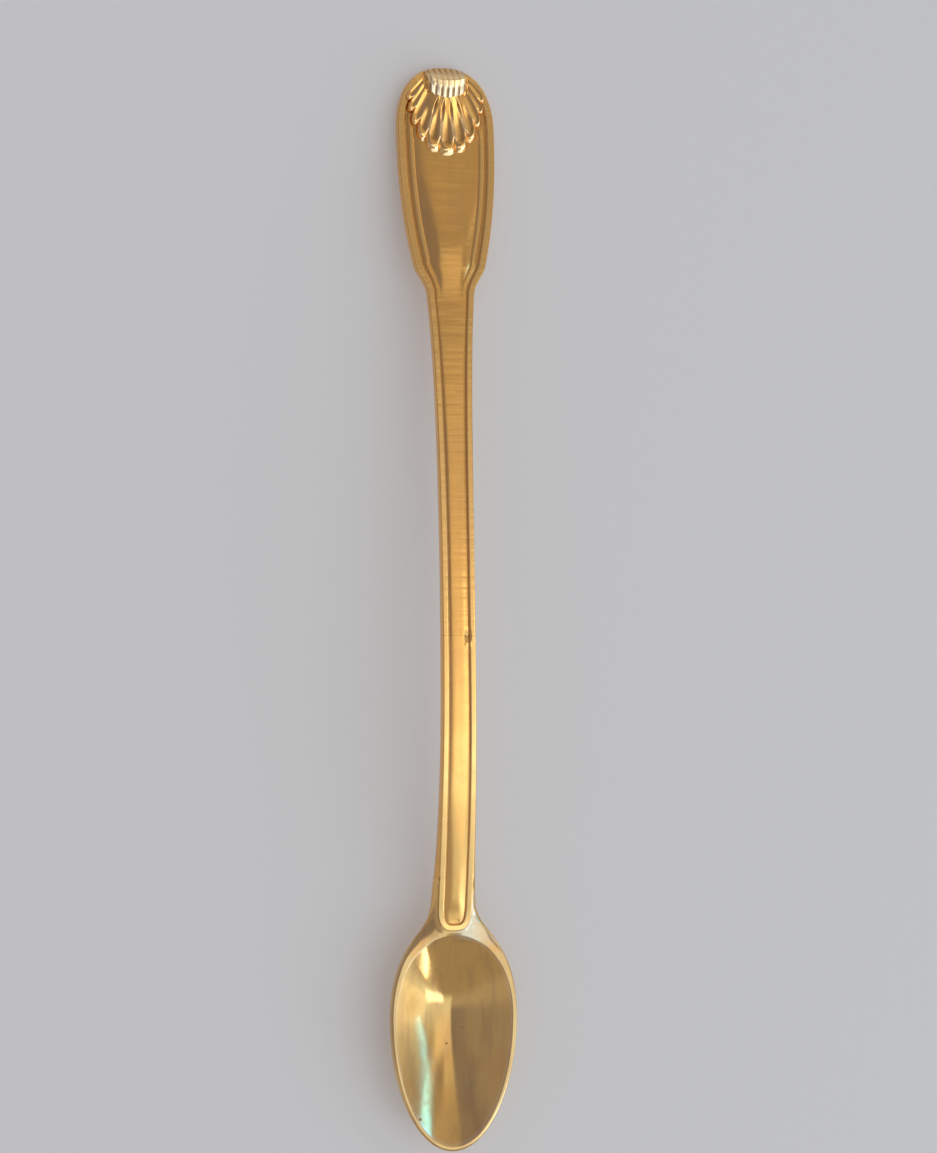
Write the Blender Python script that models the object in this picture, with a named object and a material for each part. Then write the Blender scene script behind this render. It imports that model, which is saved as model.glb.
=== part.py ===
"""Long medicine spoon: an egg-shaped bowl, a threaded stem and a fiddle end with a scallop shell.

The spoon lies face up on a table. X runs across it, Y along it from the tip of the bowl to the shell
end, and Z up. The origin is on the table, halfway along the spoon. Sizes are in metres.
"""

import math

import bmesh
import bpy

MM = 0.001

# Bowl and neck
BOWL_LENGTH = 43.0 * MM  # from the tip to the heel, where the egg-shaped outline ends inside the neck
BOWL_WIDTH = 23.9 * MM
BOWL_WIDEST = 24.8 * MM  # from the tip to the widest place, which is also the deepest
BOWL_WALL = 1.6 * MM
BOWL_REST_WIDTH = 5.0 * MM  # flat worn under the bowl
RIM_LAND = 1.0 * MM
RIM_THICKNESS = 1.1 * MM
RIM_EDGE = 0.2 * MM  # how far the rim's outer edge is rounded down
RIM_TIP_HEIGHT = 7.2 * MM
RIM_HEEL_HEIGHT = 7.6 * MM
HEEL_LAND = 2.6 * MM  # from the hollow's edge to the heel
HEEL_BLEND = 2.0 * MM
NECK_LENGTH = 8.0 * MM
NECK_THICKNESS = 3.2 * MM
NECK_ROUND = 1.2 * MM  # how far the neck's back is rounded up to its sides
NECK_FILLET = 5.0 * MM
TIP_FULLNESS = 2.0  # exponents of the outline's two halves: 2 is an ellipse, more is squarer
HEEL_FULLNESS = 2.1
HOLLOW_ROUND = 0.5  # how round the hollow is at the bottom: less gives straighter sides
BACK_FULLNESS = 1.6  # exponent of the bowl's outside

# Drop under the neck
DROP_THICKNESS = 0.9 * MM
DROP_EDGE = 0.3 * MM

# Stem
STEM_LENGTH = 113.9 * MM  # from the heel to the start of the shoulders
STEM_WIDTH = 6.2 * MM
STEM_THICKNESS = 3.0 * MM
STEM_CROWN = 0.35 * MM
STEM_FLARE = 1.25 * MM  # how much each side widens into the neck and the shoulders
STEM_FLARE_RUN = 15.0 * MM
ARCH_HEIGHT = 12.4 * MM  # top of the arch, and its distance from the heel
ARCH_PLACE = 39.0 * MM
NECK_SLOPE = 0.21  # how steeply the neck leaves the heel, and how steeply the handle comes down to its end
END_SLOPE = 0.12

# Fiddle end
FIDDLE_LENGTH = 43.1 * MM
FIDDLE_WIDTH = 18.4 * MM
FIDDLE_THICKNESS = 2.2 * MM
FIDDLE_TAPER = 1.75  # exponent of the taper from the widest place to the shoulders
SHOULDER_WIDTH = 13.0 * MM
SHOULDER_RUN = 5.9 * MM
END_ROUND = 12.0 * MM
END_FULLNESS = 2.3
HANDLE_REST_LENGTH = 4.0 * MM  # flat worn on the back of the end

# Thread along the edges
THREAD_FLANK = 0.2 * MM  # slope of the side, outside the thread
THREAD_WIDTH = 1.0 * MM
THREAD_HEIGHT = 0.4 * MM
GROOVE_WIDTH = 0.4 * MM
GROOVE_DEPTH = 0.25 * MM
THREAD_FADE = 3.0 * MM  # run over which the thread dies away beside the shell's hinge
BACK_BEVEL = 0.9 * MM

# Soldered joints
SOLDER_GAP = 0.1 * MM
TONGUE_SETBACK = 1.1 * MM  # from the hollow's edge to the tongue
TONGUE_ROUND = 6.0 * MM
TONGUE_FULLNESS = 2.6
TONGUE_DEPTH = 1.5 * MM
SEAM_PLACE = 44.3 * MM  # from the neck's end to the seam across the front of the stem
LAP_LENGTH = 10.0 * MM

# Shell
SHELL_BORDER = 2.3 * MM  # from the edge to the shell's sides
SHELL_LENGTH = 15.4 * MM  # from the end of the handle to the lowest lobe
SHELL_RISE = 1.3 * MM
HINGE_LENGTH = 3.5 * MM
HINGE_WIDTH = 7.8 * MM
HINGE_SETBACK = 0.3 * MM
HINGE_EDGE = 0.4 * MM
LOBES = 11
FAN_ANGLE = math.radians(75)  # from the middle to each side
FLUTE_DEPTH = 0.45 * MM
SCALLOP_DEPTH = 0.5 * MM
LIP_HEIGHT = 0.9 * MM
LIP_EDGE = 0.25 * MM

# Places along the spoon
SPOON_LENGTH = BOWL_LENGTH + STEM_LENGTH + FIDDLE_LENGTH
Y_TIP = -SPOON_LENGTH / 2
Y_WIDEST = Y_TIP + BOWL_WIDEST
Y_HEEL = Y_TIP + BOWL_LENGTH
Y_TONGUE = Y_HEEL - HEEL_LAND + TONGUE_SETBACK
Y_NECK = Y_HEEL + NECK_LENGTH
Y_SEAM = Y_NECK + SEAM_PLACE
Y_ARCH = Y_HEEL + ARCH_PLACE
Y_SHOULDER = Y_HEEL + STEM_LENGTH
Y_CORNER = Y_SHOULDER + SHOULDER_RUN
Y_END = Y_SHOULDER + FIDDLE_LENGTH
Y_ROUND = Y_END - END_ROUND
Y_REST = Y_END - HANDLE_REST_LENGTH
Y_HINGE = Y_END - HINGE_LENGTH

# Steps of the meshes
MERGE_DISTANCE = 0.002 * MM
OUTSIDE_STEPS = (0.96, 0.9, 0.84, 0.77, 0.7, 0.63, 0.56, 0.48, 0.4, 0.3)
DROP_STEPS = OUTSIDE_STEPS[2:8]
INSIDE_STEPS = (0.15, 0.35, 0.55, 0.72, 0.86, 0.95, 1.0)
LAND_STEPS = (0.35, 0.7)
SHELL_STEPS = (0.0, 0.12, 0.25, 0.38, 0.52, 0.66, 0.8, 0.91, 1.0)
LOBE_STEPS = 4
PANEL_STEPS = 3


# Plain curves
def between(first, last, share):
    return first + (last - first) * share


def spread(first, last, count):
    """Evenly spaced values from first to last, both included."""
    return [between(first, last, i / (count - 1)) for i in range(count)]


def smooth_step(share):
    share = min(max(share, 0.0), 1.0)
    return share * share * (3.0 - 2.0 * share)


def smooth_max(a, b, blend):
    """The larger of two values, rounded off where they are closer than blend."""
    overlap = max(blend - abs(a - b), 0.0) / blend
    return max(a, b) + overlap * overlap * blend / 4.0


def glide(share, first, first_rise, last, last_rise):
    """A smooth curve from first to last, which leaves and arrives with the given rises over the whole run."""
    back = 1.0 - share
    start = back * back * (first * (1.0 + 2.0 * share) + first_rise * share)
    return start + share * share * (last * (1.0 + 2.0 * back) - last_rise * back)


# Heights along the spoon
def face_height(y):
    """Height of the rim, and of the flat face that the stem's threads stand on."""
    rim_slope = (RIM_HEEL_HEIGHT - RIM_TIP_HEIGHT) / BOWL_LENGTH
    if y <= Y_HEEL:
        return RIM_TIP_HEIGHT + rim_slope * (y - Y_TIP)
    if y <= Y_ARCH:
        return glide((y - Y_HEEL) / ARCH_PLACE, RIM_HEEL_HEIGHT, NECK_SLOPE * ARCH_PLACE, ARCH_HEIGHT, 0.0)
    if y <= Y_REST:
        run = Y_REST - Y_ARCH
        return glide((y - Y_ARCH) / run, ARCH_HEIGHT, 0.0, FIDDLE_THICKNESS, -END_SLOPE * run)
    return FIDDLE_THICKNESS - END_SLOPE * (y - Y_REST)


def thickness(y):
    if y <= Y_ARCH:
        return between(NECK_THICKNESS, STEM_THICKNESS, smooth_step((y - Y_HEEL) / ARCH_PLACE))
    return between(STEM_THICKNESS, FIDDLE_THICKNESS, smooth_step((y - Y_ARCH) / (Y_SHOULDER - Y_ARCH)))


def back_height(y):
    """Height of the back, which is worn flat where it would go below the table."""
    return max(face_height(y) - thickness(y), 0.0)


def lap_height(y):
    return face_height(y) - thickness(y) / 2


def tongue_height(y):
    return face_height(y) - TONGUE_DEPTH


# Outlines from above
def stem_half_width(y):
    neck_flare = STEM_FLARE * math.exp(min(Y_HEEL - y, 0.0) / STEM_FLARE_RUN)
    shoulder_flare = STEM_FLARE * math.exp((y - Y_SHOULDER) / STEM_FLARE_RUN)
    return STEM_WIDTH / 2 + neck_flare + shoulder_flare


def fiddle_half_width(y):
    share = max(Y_ROUND - y, 0.0) / (Y_ROUND - Y_CORNER)
    return (FIDDLE_WIDTH - (FIDDLE_WIDTH - SHOULDER_WIDTH) * share ** FIDDLE_TAPER) / 2


def handle_half_width(y):
    if y <= Y_SHOULDER:
        return stem_half_width(y)
    shoulder = smooth_step((y - Y_SHOULDER) / SHOULDER_RUN)
    return between(stem_half_width(Y_SHOULDER), fiddle_half_width(y), shoulder)


def egg_half_width(y):
    share = (y - Y_WIDEST) / (Y_HEEL - Y_WIDEST)
    return BOWL_WIDTH / 2 * max(1.0 - share ** HEEL_FULLNESS, 0.0) ** (1 / HEEL_FULLNESS)


def bowl_half_width(y):
    """Half width of the bowl's heel side, where the egg runs into the neck."""
    return smooth_max(egg_half_width(y), stem_half_width(y), NECK_FILLET)


def egg_share(x, y, half_width, tip_reach, heel_reach):
    """Distance from the middle of an egg, as a share of the distance to its outline that way."""
    along = y - Y_WIDEST
    reach, fullness = (heel_reach, HEEL_FULLNESS) if along > 0 else (tip_reach, TIP_FULLNESS)
    return ((abs(x) / half_width) ** fullness + (abs(along) / reach) ** fullness) ** (1 / fullness)


def outside_share(x, y):
    return egg_share(x, y, BOWL_WIDTH / 2, BOWL_WIDEST, BOWL_LENGTH - BOWL_WIDEST)


def inside_share(x, y):
    heel_reach = BOWL_LENGTH - BOWL_WIDEST - HEEL_LAND
    return egg_share(x, y, BOWL_WIDTH / 2 - RIM_LAND, BOWL_WIDEST - RIM_LAND, heel_reach)


class Station:
    """A place on an outline's right-hand edge, with the direction that leads straight into the metal."""

    def __init__(self, x, y, inward_x, inward_y):
        length = math.hypot(inward_x, inward_y)
        self.x = x
        self.y = y
        self.inward = (inward_x / length, inward_y / length)

    def inset(self, distance):
        x = max(self.x + self.inward[0] * distance, 0.0)
        return x, self.y + self.inward[1] * distance


def side_station(half_width, y):
    step = 0.05 * MM
    slope = (half_width(y + step) - half_width(y - step)) / (2 * step)
    return Station(half_width(y), y, -1.0, slope)


def round_end(half_width, y, reach, fullness, count):
    """Stations round an end, from its side at y to its tip. A negative reach points to the bowl."""
    stations = []
    for angle in spread(0.0, math.pi / 2, count)[1:-1]:
        across = math.cos(angle) ** (2 / fullness)
        along = math.sin(angle) ** (2 / fullness)
        inward_x = -(across ** (fullness - 1)) / half_width
        inward_y = -(along ** (fullness - 1)) / reach
        stations.append(Station(half_width * across, y + reach * along, inward_x, inward_y))
    stations.append(Station(0.0, y + reach, 0.0, -reach))
    return stations


# Solids
def solid(name, rings, material, open_ends=()):
    """Join rings of points into a closed solid. An end that is open has already closed on itself."""
    shape = bmesh.new()
    loops = [[shape.verts.new(point) for point in ring] for ring in rings]
    for here, there in zip(loops, loops[1:]):
        for i in range(len(here)):
            shape.faces.new((here[i - 1], here[i], there[i], there[i - 1]))
    if "first" not in open_ends:
        shape.faces.new(loops[0])
    if "last" not in open_ends:
        shape.faces.new(loops[-1])
    bmesh.ops.remove_doubles(shape, verts=shape.verts, dist=MERGE_DISTANCE)
    bmesh.ops.recalc_face_normals(shape, faces=shape.faces)
    mesh = bpy.data.meshes.new(name)
    shape.to_mesh(mesh)
    shape.free()
    mesh.shade_smooth()
    mesh.set_sharp_from_angle(angle=math.radians(30))
    if material:
        mesh.materials.append(material)
    piece = bpy.data.objects.new(name, mesh)
    bpy.context.collection.objects.link(piece)
    return piece


def mirrored(half):
    """A full ring from its right half, whose two ends are in the middle plane."""
    left = [(-x, y, z) for x, y, z in reversed(half[1:-1])]
    return half + left


def gilt(name, colour, roughness):
    material = bpy.data.materials.new(name)
    material.use_nodes = True
    shader = material.node_tree.nodes["Principled BSDF"]
    shader.inputs["Base Color"].default_value = (*colour, 1.0)
    shader.inputs["Roughness"].default_value = roughness
    shader.inputs["Metallic"].default_value = 1.0
    return material


# Bowl
def bowl_outline():
    """Right half of the bowl's edge, from the middle of the neck's end to the tip."""
    neck_end = [(x, Y_NECK) for x in spread(0.0, stem_half_width(Y_NECK), 4)]
    neck_side = [(bowl_half_width(y), y) for y in spread(Y_NECK, Y_HEEL, 6)[1:]]
    heel = []
    for angle in spread(math.pi / 2, 0.0, 11)[1:]:
        y = Y_WIDEST + (Y_HEEL - Y_WIDEST) * math.sin(angle) ** (2 / HEEL_FULLNESS)
        heel.append((bowl_half_width(y), y))
    tip = []
    for angle in spread(0.0, math.pi / 2, 13)[1:]:
        x = BOWL_WIDTH / 2 * math.cos(angle) ** (2 / TIP_FULLNESS)
        tip.append((x, Y_WIDEST - BOWL_WIDEST * math.sin(angle) ** (2 / TIP_FULLNESS)))
    tip[-1] = (0.0, Y_TIP)
    return neck_end + neck_side + heel + tip


def toward_middle(point, share):
    x, y = point
    return x * share, between(Y_WIDEST, y, share)


def bowl_back(x, y):
    """Height of the bowl's outside and the neck's back, blended into each other."""
    rest = BOWL_REST_WIDTH / BOWL_WIDTH
    share = max(outside_share(x, y) - rest, 0.0) / (1.0 - rest)
    bowl = (face_height(y) - RIM_THICKNESS) * share ** BACK_FULLNESS
    into_bowl = max(Y_HEEL - HEEL_LAND - y, 0.0)
    neck = back_height(y) + NECK_ROUND * (x / stem_half_width(y)) ** 4 + into_bowl
    return -smooth_max(-bowl, -neck, HEEL_BLEND)


def hollow_rise(share):
    """How far the hollow has risen from its deepest place, where share is 0, to its edge, where it is 1."""
    return (math.hypot(share, HOLLOW_ROUND) - HOLLOW_ROUND) / (math.hypot(1.0, HOLLOW_ROUND) - HOLLOW_ROUND)


def hollow_floor(x, y):
    return between(BOWL_WALL, face_height(y), hollow_rise(inside_share(x, y)))


def hollow_ring(outline, share):
    ring = []
    for point in outline:
        x, y = toward_middle(point, share / inside_share(*point))
        ring.append((x, y, hollow_floor(x, y)))
    return ring


def land_ring(outline, share):
    """A ring on the land between the hollow's edge and the outline."""
    ring = []
    for point in outline:
        x, y = toward_middle(point, between(1.0 / inside_share(*point), 1.0, share))
        ring.append((x, y, face_height(y)))
    return ring


def back_ring(outline, share):
    ring = []
    for point in outline:
        x, y = toward_middle(point, share)
        ring.append((x, y, bowl_back(x, y)))
    return ring


def rest_ring(outline):
    """The edge of the flat that the bowl rests on."""
    rest = BOWL_REST_WIDTH / BOWL_WIDTH
    return [(*toward_middle(point, rest / outside_share(*point)), 0.0) for point in outline]


def make_bowl(material):
    outline = bowl_outline()
    edge = [(x, y, face_height(y) - RIM_EDGE) for x, y in outline]
    halves = [hollow_ring(outline, share) for share in INSIDE_STEPS]
    halves += [land_ring(outline, share) for share in LAND_STEPS]
    halves += [edge, back_ring(outline, 1.0)]
    halves += [back_ring(outline, share) for share in OUTSIDE_STEPS]
    halves.append(rest_ring(outline))
    bowl = solid("bowl", [mirrored(half) for half in halves], material)
    cut = bowl.modifiers.new("socket", "BOOLEAN")
    cut.operation = "DIFFERENCE"
    cut.object = make_socket_cutter()
    return bowl


def make_drop(material):
    """The drop lies against the back of the neck and the bowl, thickest along its middle."""
    side = [point for point in bowl_outline() if point[1] == Y_NECK]
    rays = [(-x, y) for x, y in reversed(side[1:])] + side
    rings = []
    for ray, across in zip(rays, spread(-1.0, 1.0, len(rays))):
        seat = []
        face = []
        for share, along in zip(DROP_STEPS, spread(-1.0, 1.0, len(DROP_STEPS))):
            x, y = toward_middle(ray, share)
            z = bowl_back(x, y) - SOLDER_GAP
            depth = between(DROP_EDGE, DROP_THICKNESS, (1 - across ** 2) * (1 - along ** 4))
            seat.append((x, y, z))
            face.append((x, y, z - depth))
        rings.append(seat + face[::-1])
    return solid("heel_drop", rings, material)


# Stem and handle
def thread_half_width():
    """Half the width over the stem's two threads, which is also the tongue's."""
    return STEM_WIDTH / 2 - THREAD_FLANK


def moulding(flank, rise):
    """Thread and groove, as distances in from the edge and heights over the face."""
    points = []
    for angle in spread(0.0, math.pi, 5)[:-1]:
        inset = flank + THREAD_WIDTH / 2 * (1 - math.cos(angle))
        points.append((inset, THREAD_HEIGHT * rise * math.sin(angle)))
    groove = flank + THREAD_WIDTH
    points.append((groove + GROOVE_WIDTH / 2, -GROOVE_DEPTH * rise))
    points.append((groove + GROOVE_WIDTH, 0.0))
    return points


def bar_ring(station, flank=THREAD_FLANK, rise=1.0, floor=None, ceiling=None):
    """A section through the stem or handle, cut off below a floor or above a ceiling."""
    half = []
    for inset, lift in ((BACK_BEVEL, 0.0), (BACK_BEVEL / 3, BACK_BEVEL / 3)):
        x, y = station.inset(inset)
        half.append((x, y, back_height(y) + lift))
    half.insert(0, (0.0, *half[0][1:]))
    half.append((station.x, station.y, lap_height(station.y)))
    for inset, lift in moulding(flank, rise):
        x, y = station.inset(inset)
        half.append((x, y, face_height(y) + lift))
    panel_x, panel_y, panel_z = half[-1]
    crown = STEM_CROWN * (1.0 - smooth_step((panel_y - Y_SHOULDER) / SHOULDER_RUN))
    for share in spread(1.0, 0.0, PANEL_STEPS + 1)[1:]:
        half.append((panel_x * share, panel_y, panel_z + crown * (1.0 - share * share)))
    if floor:
        half = [(x, y, max(z, floor(y))) for x, y, z in half]
    if ceiling:
        half = [(x, y, min(z, ceiling(y))) for x, y, z in half]
    return mirrored(half)


def tongue_stations():
    """The tongue's edge, from its tip to the neck's end."""
    half_width = thread_half_width()
    y_straight = Y_TONGUE + TONGUE_ROUND
    curve = round_end(half_width, y_straight, -TONGUE_ROUND, TONGUE_FULLNESS, 9)
    straight = [Station(half_width, y, -1.0, 0.0) for y in spread(y_straight, Y_NECK + SOLDER_GAP, 3)]
    return curve[::-1] + straight


def make_socket_cutter():
    """The tongue's own outline, grown by the solder gap and open to the front and to the stem."""
    rings = []
    for station in tongue_stations() + [Station(thread_half_width(), Y_NECK + LAP_LENGTH, -1.0, 0.0)]:
        x, y = station.inset(-SOLDER_GAP)
        x = x if station.x > 0 else 0.0
        low = tongue_height(y) - SOLDER_GAP
        high = face_height(y) + TONGUE_DEPTH
        rings.append(mirrored([(0.0, y, low), (x, y, low), (x, y, high), (0.0, y, high)]))
    cutter = solid("socket_cutter", rings, None, open_ends=("first",))
    cutter.hide_render = True
    cutter.display_type = "WIRE"
    return cutter


def make_lower_stem(material):
    rings = [bar_ring(station, flank=0.0, floor=tongue_height) for station in tongue_stations()]
    for y in spread(Y_NECK + SOLDER_GAP, Y_SEAM, 10):
        station = side_station(stem_half_width, y)
        rings.append(bar_ring(station, flank=station.x - thread_half_width()))
    for y in spread(Y_SEAM, Y_SEAM + LAP_LENGTH, 4):
        station = side_station(stem_half_width, y)
        flank = station.x - thread_half_width()
        rings.append(bar_ring(station, flank, ceiling=lambda y: lap_height(y) - SOLDER_GAP / 2))
    return solid("lower_stem", rings, material, open_ends=("first",))


def make_handle(material):
    lap_end = Y_SEAM + LAP_LENGTH + SOLDER_GAP
    rings = []
    for y in spread(Y_SEAM + SOLDER_GAP, lap_end, 4):
        station = side_station(stem_half_width, y)
        rings.append(bar_ring(station, floor=lambda y: lap_height(y) + SOLDER_GAP / 2))
    sides = spread(lap_end, Y_SHOULDER, 11) + spread(Y_SHOULDER, Y_CORNER, 8)[1:]
    sides += spread(Y_CORNER, Y_ROUND, 8)[1:]
    rings += [bar_ring(side_station(handle_half_width, y)) for y in sides]
    for station in round_end(FIDDLE_WIDTH / 2, Y_ROUND, END_ROUND, END_FULLNESS, 16):
        beside_hinge = station.x - HINGE_WIDTH / 2 - THREAD_WIDTH
        rings.append(bar_ring(station, rise=smooth_step(beside_hinge / THREAD_FADE)))
    return solid("handle", rings, material, open_ends=("last",))


# Shell
def hinge_end(x):
    """How far along the spoon the hinge reaches, just inside the round end of the handle."""
    share = abs(x) / (FIDDLE_WIDTH / 2)
    return Y_ROUND + END_ROUND * (1.0 - share ** END_FULLNESS) ** (1 / END_FULLNESS) - HINGE_SETBACK


def across_lobe(fan):
    """Place across one lobe, from -1 to 1, for a place across the whole fan from -1 to 1."""
    lobe = (fan + 1.0) / 2 * LOBES
    return 2.0 * (lobe - min(math.floor(lobe), LOBES - 1)) - 1.0


def lobe_tip(fan):
    angle = fan * FAN_ANGLE
    half_width = FIDDLE_WIDTH / 2 - SHELL_BORDER
    reach = 1.0 / math.hypot(math.sin(angle) / half_width, math.cos(angle) / (SHELL_LENGTH - HINGE_LENGTH))
    reach -= SCALLOP_DEPTH * (1.0 - math.sqrt(max(1.0 - across_lobe(fan) ** 2, 0.0)))
    return math.sin(angle) * reach, Y_HINGE - math.cos(angle) * reach


def shell_place(fan, share):
    """A place on the shell, for a share of the way from the hinge's end to the lobe's tip."""
    hinge_share = SHELL_STEPS[2]
    x = fan * HINGE_WIDTH / 2
    if share <= hinge_share:
        return x, between(hinge_end(x), Y_HINGE, share / hinge_share)
    run = (share - hinge_share) / (1.0 - hinge_share)
    tip_x, tip_y = lobe_tip(fan)
    return between(x, tip_x, run), between(Y_HINGE, tip_y, run)


def shell_rise(fan, share):
    """Height of the shell over the face: a dome with a flute down each lobe and a lip round its edge."""
    hinge_share, lip_share = SHELL_STEPS[2], SHELL_STEPS[-2]
    if share > lip_share:
        return between(LIP_HEIGHT, LIP_EDGE, (share - lip_share) / (1.0 - lip_share))
    if share <= hinge_share:
        dome = between(HINGE_EDGE, SHELL_RISE, math.sqrt(share / hinge_share))
    else:
        dome = between(SHELL_RISE, LIP_HEIGHT, smooth_step((share - hinge_share) / (lip_share - hinge_share)))
    flute = (1.0 - across_lobe(fan) ** 2) * math.sin(math.pi * share / lip_share)
    return dome - FLUTE_DEPTH * flute


def make_shell(material):
    rings = []
    for fan in spread(-1.0, 1.0, LOBES * LOBE_STEPS + 1):
        face = []
        seat = []
        for share in SHELL_STEPS:
            x, y = shell_place(fan, share)
            z = face_height(y) + SOLDER_GAP
            face.append((x, y, z + shell_rise(fan, share)))
            seat.append((x, y, z))
        rings.append(face + seat[::-1])
    return solid("shell", rings, material)


def main():
    for leftover in list(bpy.data.objects):
        bpy.data.objects.remove(leftover)
    make_bowl(gilt("bowl gilding", (0.72, 0.46, 0.16), 0.22))
    make_drop(gilt("drop gilding", (0.66, 0.41, 0.14), 0.25))
    make_lower_stem(gilt("lower stem gilding", (0.74, 0.49, 0.17), 0.2))
    make_handle(gilt("handle gilding", (0.7, 0.44, 0.15), 0.22))
    make_shell(gilt("shell gilding", (0.6, 0.36, 0.12), 0.26))


main()
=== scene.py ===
# %% [markdown]
# # A gilt medicine spoon
# This lesson dresses a long, gilt medicine spoon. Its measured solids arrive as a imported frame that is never
# moved, and every piece below is a finer stand-in for one of them: the bowl, the drop behind it, the stem,
# the fiddle-shaped handle and the scallop shell. First comes the frame itself, and the box it fills.

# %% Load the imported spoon
import math

import bmesh
import bpy
import numpy as np
from mathutils import Matrix, Vector


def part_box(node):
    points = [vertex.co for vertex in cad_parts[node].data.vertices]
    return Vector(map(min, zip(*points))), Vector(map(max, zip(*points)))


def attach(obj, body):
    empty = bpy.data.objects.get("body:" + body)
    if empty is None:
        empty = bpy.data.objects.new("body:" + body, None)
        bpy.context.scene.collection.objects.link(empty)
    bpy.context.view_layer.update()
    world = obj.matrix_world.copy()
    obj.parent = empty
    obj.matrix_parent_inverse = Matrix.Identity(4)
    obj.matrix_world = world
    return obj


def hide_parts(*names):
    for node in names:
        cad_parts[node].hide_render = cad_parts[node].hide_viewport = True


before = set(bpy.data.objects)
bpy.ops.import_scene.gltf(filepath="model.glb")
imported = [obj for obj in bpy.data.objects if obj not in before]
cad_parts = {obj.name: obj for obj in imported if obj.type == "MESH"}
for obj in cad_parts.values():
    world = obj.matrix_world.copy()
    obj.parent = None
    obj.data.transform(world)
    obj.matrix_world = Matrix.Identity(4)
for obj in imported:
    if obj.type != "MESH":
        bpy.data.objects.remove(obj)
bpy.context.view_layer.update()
MM = 0.001
bowl_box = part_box("bowl")
stem_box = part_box("lower_stem")
handle_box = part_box("handle")


def add_object(name, data):
    made = bpy.data.objects.new(name, data)
    bpy.context.collection.objects.link(made)
    return made


# %% [markdown]
# ## The camera
# The picture was taken from almost straight above, leaning to the spoon's left, so the left flank of the stem
# shows and its high arch drifts to the right. A camera could be turned with angles, but three axes written
# out say more: one points back from the spoon, one to the right of the picture and one up it.

# %% Camera
SENSOR_HEIGHT, FOCAL_LENGTH = 36.0, 71.2
LEAN_LEFT = math.radians(13.9)
LEAN_BACK = math.radians(-1.0)
ROLL = math.radians(-0.21)
DISTANCE = 0.42
LOOK_AT = Vector((3.3 * MM, 5.9 * MM, 6.0 * MM))

back = Vector((
    -math.sin(LEAN_LEFT) * math.cos(LEAN_BACK),
    -math.sin(LEAN_BACK),
    math.cos(LEAN_LEFT) * math.cos(LEAN_BACK),
))
across = Vector((0.0, 1.0, 0.0)).cross(back).normalized()
upward = back.cross(across)
rolled_across = across * math.cos(ROLL) + upward * math.sin(ROLL)
rolled_upward = upward * math.cos(ROLL) - across * math.sin(ROLL)
lens = bpy.data.cameras.new("camera")
lens.sensor_fit = "VERTICAL"
lens.sensor_height = SENSOR_HEIGHT
lens.lens = FOCAL_LENGTH
lens.clip_start = 10 * MM
camera = add_object("camera", lens)
turn = Matrix((rolled_across, rolled_upward, back)).transposed().to_4x4()
camera.matrix_world = Matrix.Translation(LOOK_AT + back * DISTANCE) @ turn
bpy.context.scene.camera = camera
print("camera", round(camera.matrix_world.translation.z, 3), "m over the table")

# %% [markdown]
# ## Lines that the maker draws first
# A spoon is drawn in two views before any metal is cut: the outline from above, and the line of its face from
# the side. Every later piece reads both, so joints fall together by themselves. The lengths come from the
# packed boxes where a box shows them, and the rest are the drawing's own measures.

# %% Measures and plain curves
Y_TIP = bowl_box[0].y
Y_NECK = bowl_box[1].y
Y_TONGUE = stem_box[0].y
Y_SEAM = handle_box[0].y
Y_END = handle_box[1].y
BOWL_WIDTH = bowl_box[1].x - bowl_box[0].x
FIDDLE_WIDTH = handle_box[1].x - handle_box[0].x
Y_WIDEST = Y_TIP + 24.8 * MM
Y_HEEL = Y_NECK - 8.0 * MM
Y_ARCH = Y_HEEL + 39.0 * MM
Y_SHOULDER = Y_END - 43.1 * MM
Y_CORNER = Y_SHOULDER + 5.9 * MM
Y_ROUND = Y_END - 12.0 * MM
Y_REST = Y_END - 4.0 * MM
Y_HINGE = Y_END - 3.5 * MM


def between(first, last, share):
    return first + (last - first) * share


def ease(value, start, run):
    """A smooth rise from 0 at the start of a run to 1 at its end."""
    share = np.clip((value - start) / run, 0.0, 1.0)
    return share * share * (3.0 - 2.0 * share)


def smooth_max(a, b, blend):
    """The larger of two values, rounded off where they are closer than blend."""
    overlap = np.maximum(blend - np.abs(a - b), 0.0) / blend
    return np.maximum(a, b) + overlap * overlap * blend / 4.0


def glide(share, first, first_rise, last, last_rise):
    """A smooth curve from first to last that leaves and arrives with the given rises."""
    rest = 1.0 - share
    start = rest * rest * (first * (1.0 + 2.0 * share) + first_rise * share)
    return start + share * share * (last * (1.0 + 2.0 * rest) - last_rise * rest)


print("tip", round(Y_TIP / MM, 1), "heel", round(Y_HEEL / MM, 1), "seam", round(Y_SEAM / MM, 1), "mm")

# %% The line of the face, from the side
RIM_TIP_HEIGHT, RIM_HEEL_HEIGHT, HEEL_BEND = 7.2 * MM, 7.6 * MM, 0.4 * MM
ARCH_HEIGHT, NECK_SLOPE, END_SLOPE = 12.4 * MM, 0.21, 0.12
NECK_THICKNESS, STEM_THICKNESS, FIDDLE_THICKNESS = 3.2 * MM, 3.0 * MM, 2.2 * MM


def fall_height(y):
    """The face from the top of the arch to the end. It also works on a socket in a node tree."""
    run = Y_REST - Y_ARCH
    return glide((y - Y_ARCH) / run, ARCH_HEIGHT, 0.0, FIDDLE_THICKNESS, -END_SLOPE * run)


def face_height(y):
    rim = between(RIM_TIP_HEIGHT, RIM_HEEL_HEIGHT, (y - Y_TIP) / (Y_HEEL - Y_TIP))
    run = Y_ARCH - Y_HEEL
    climb = glide(np.maximum(y - Y_HEEL, 0.0) / run, RIM_HEEL_HEIGHT, NECK_SLOPE * run, ARCH_HEIGHT, 0.0)
    climb = climb + NECK_SLOPE * np.minimum(y - Y_HEEL, 0.0)
    return np.where(y <= Y_ARCH, smooth_max(rim, climb, HEEL_BEND), fall_height(y))


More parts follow.
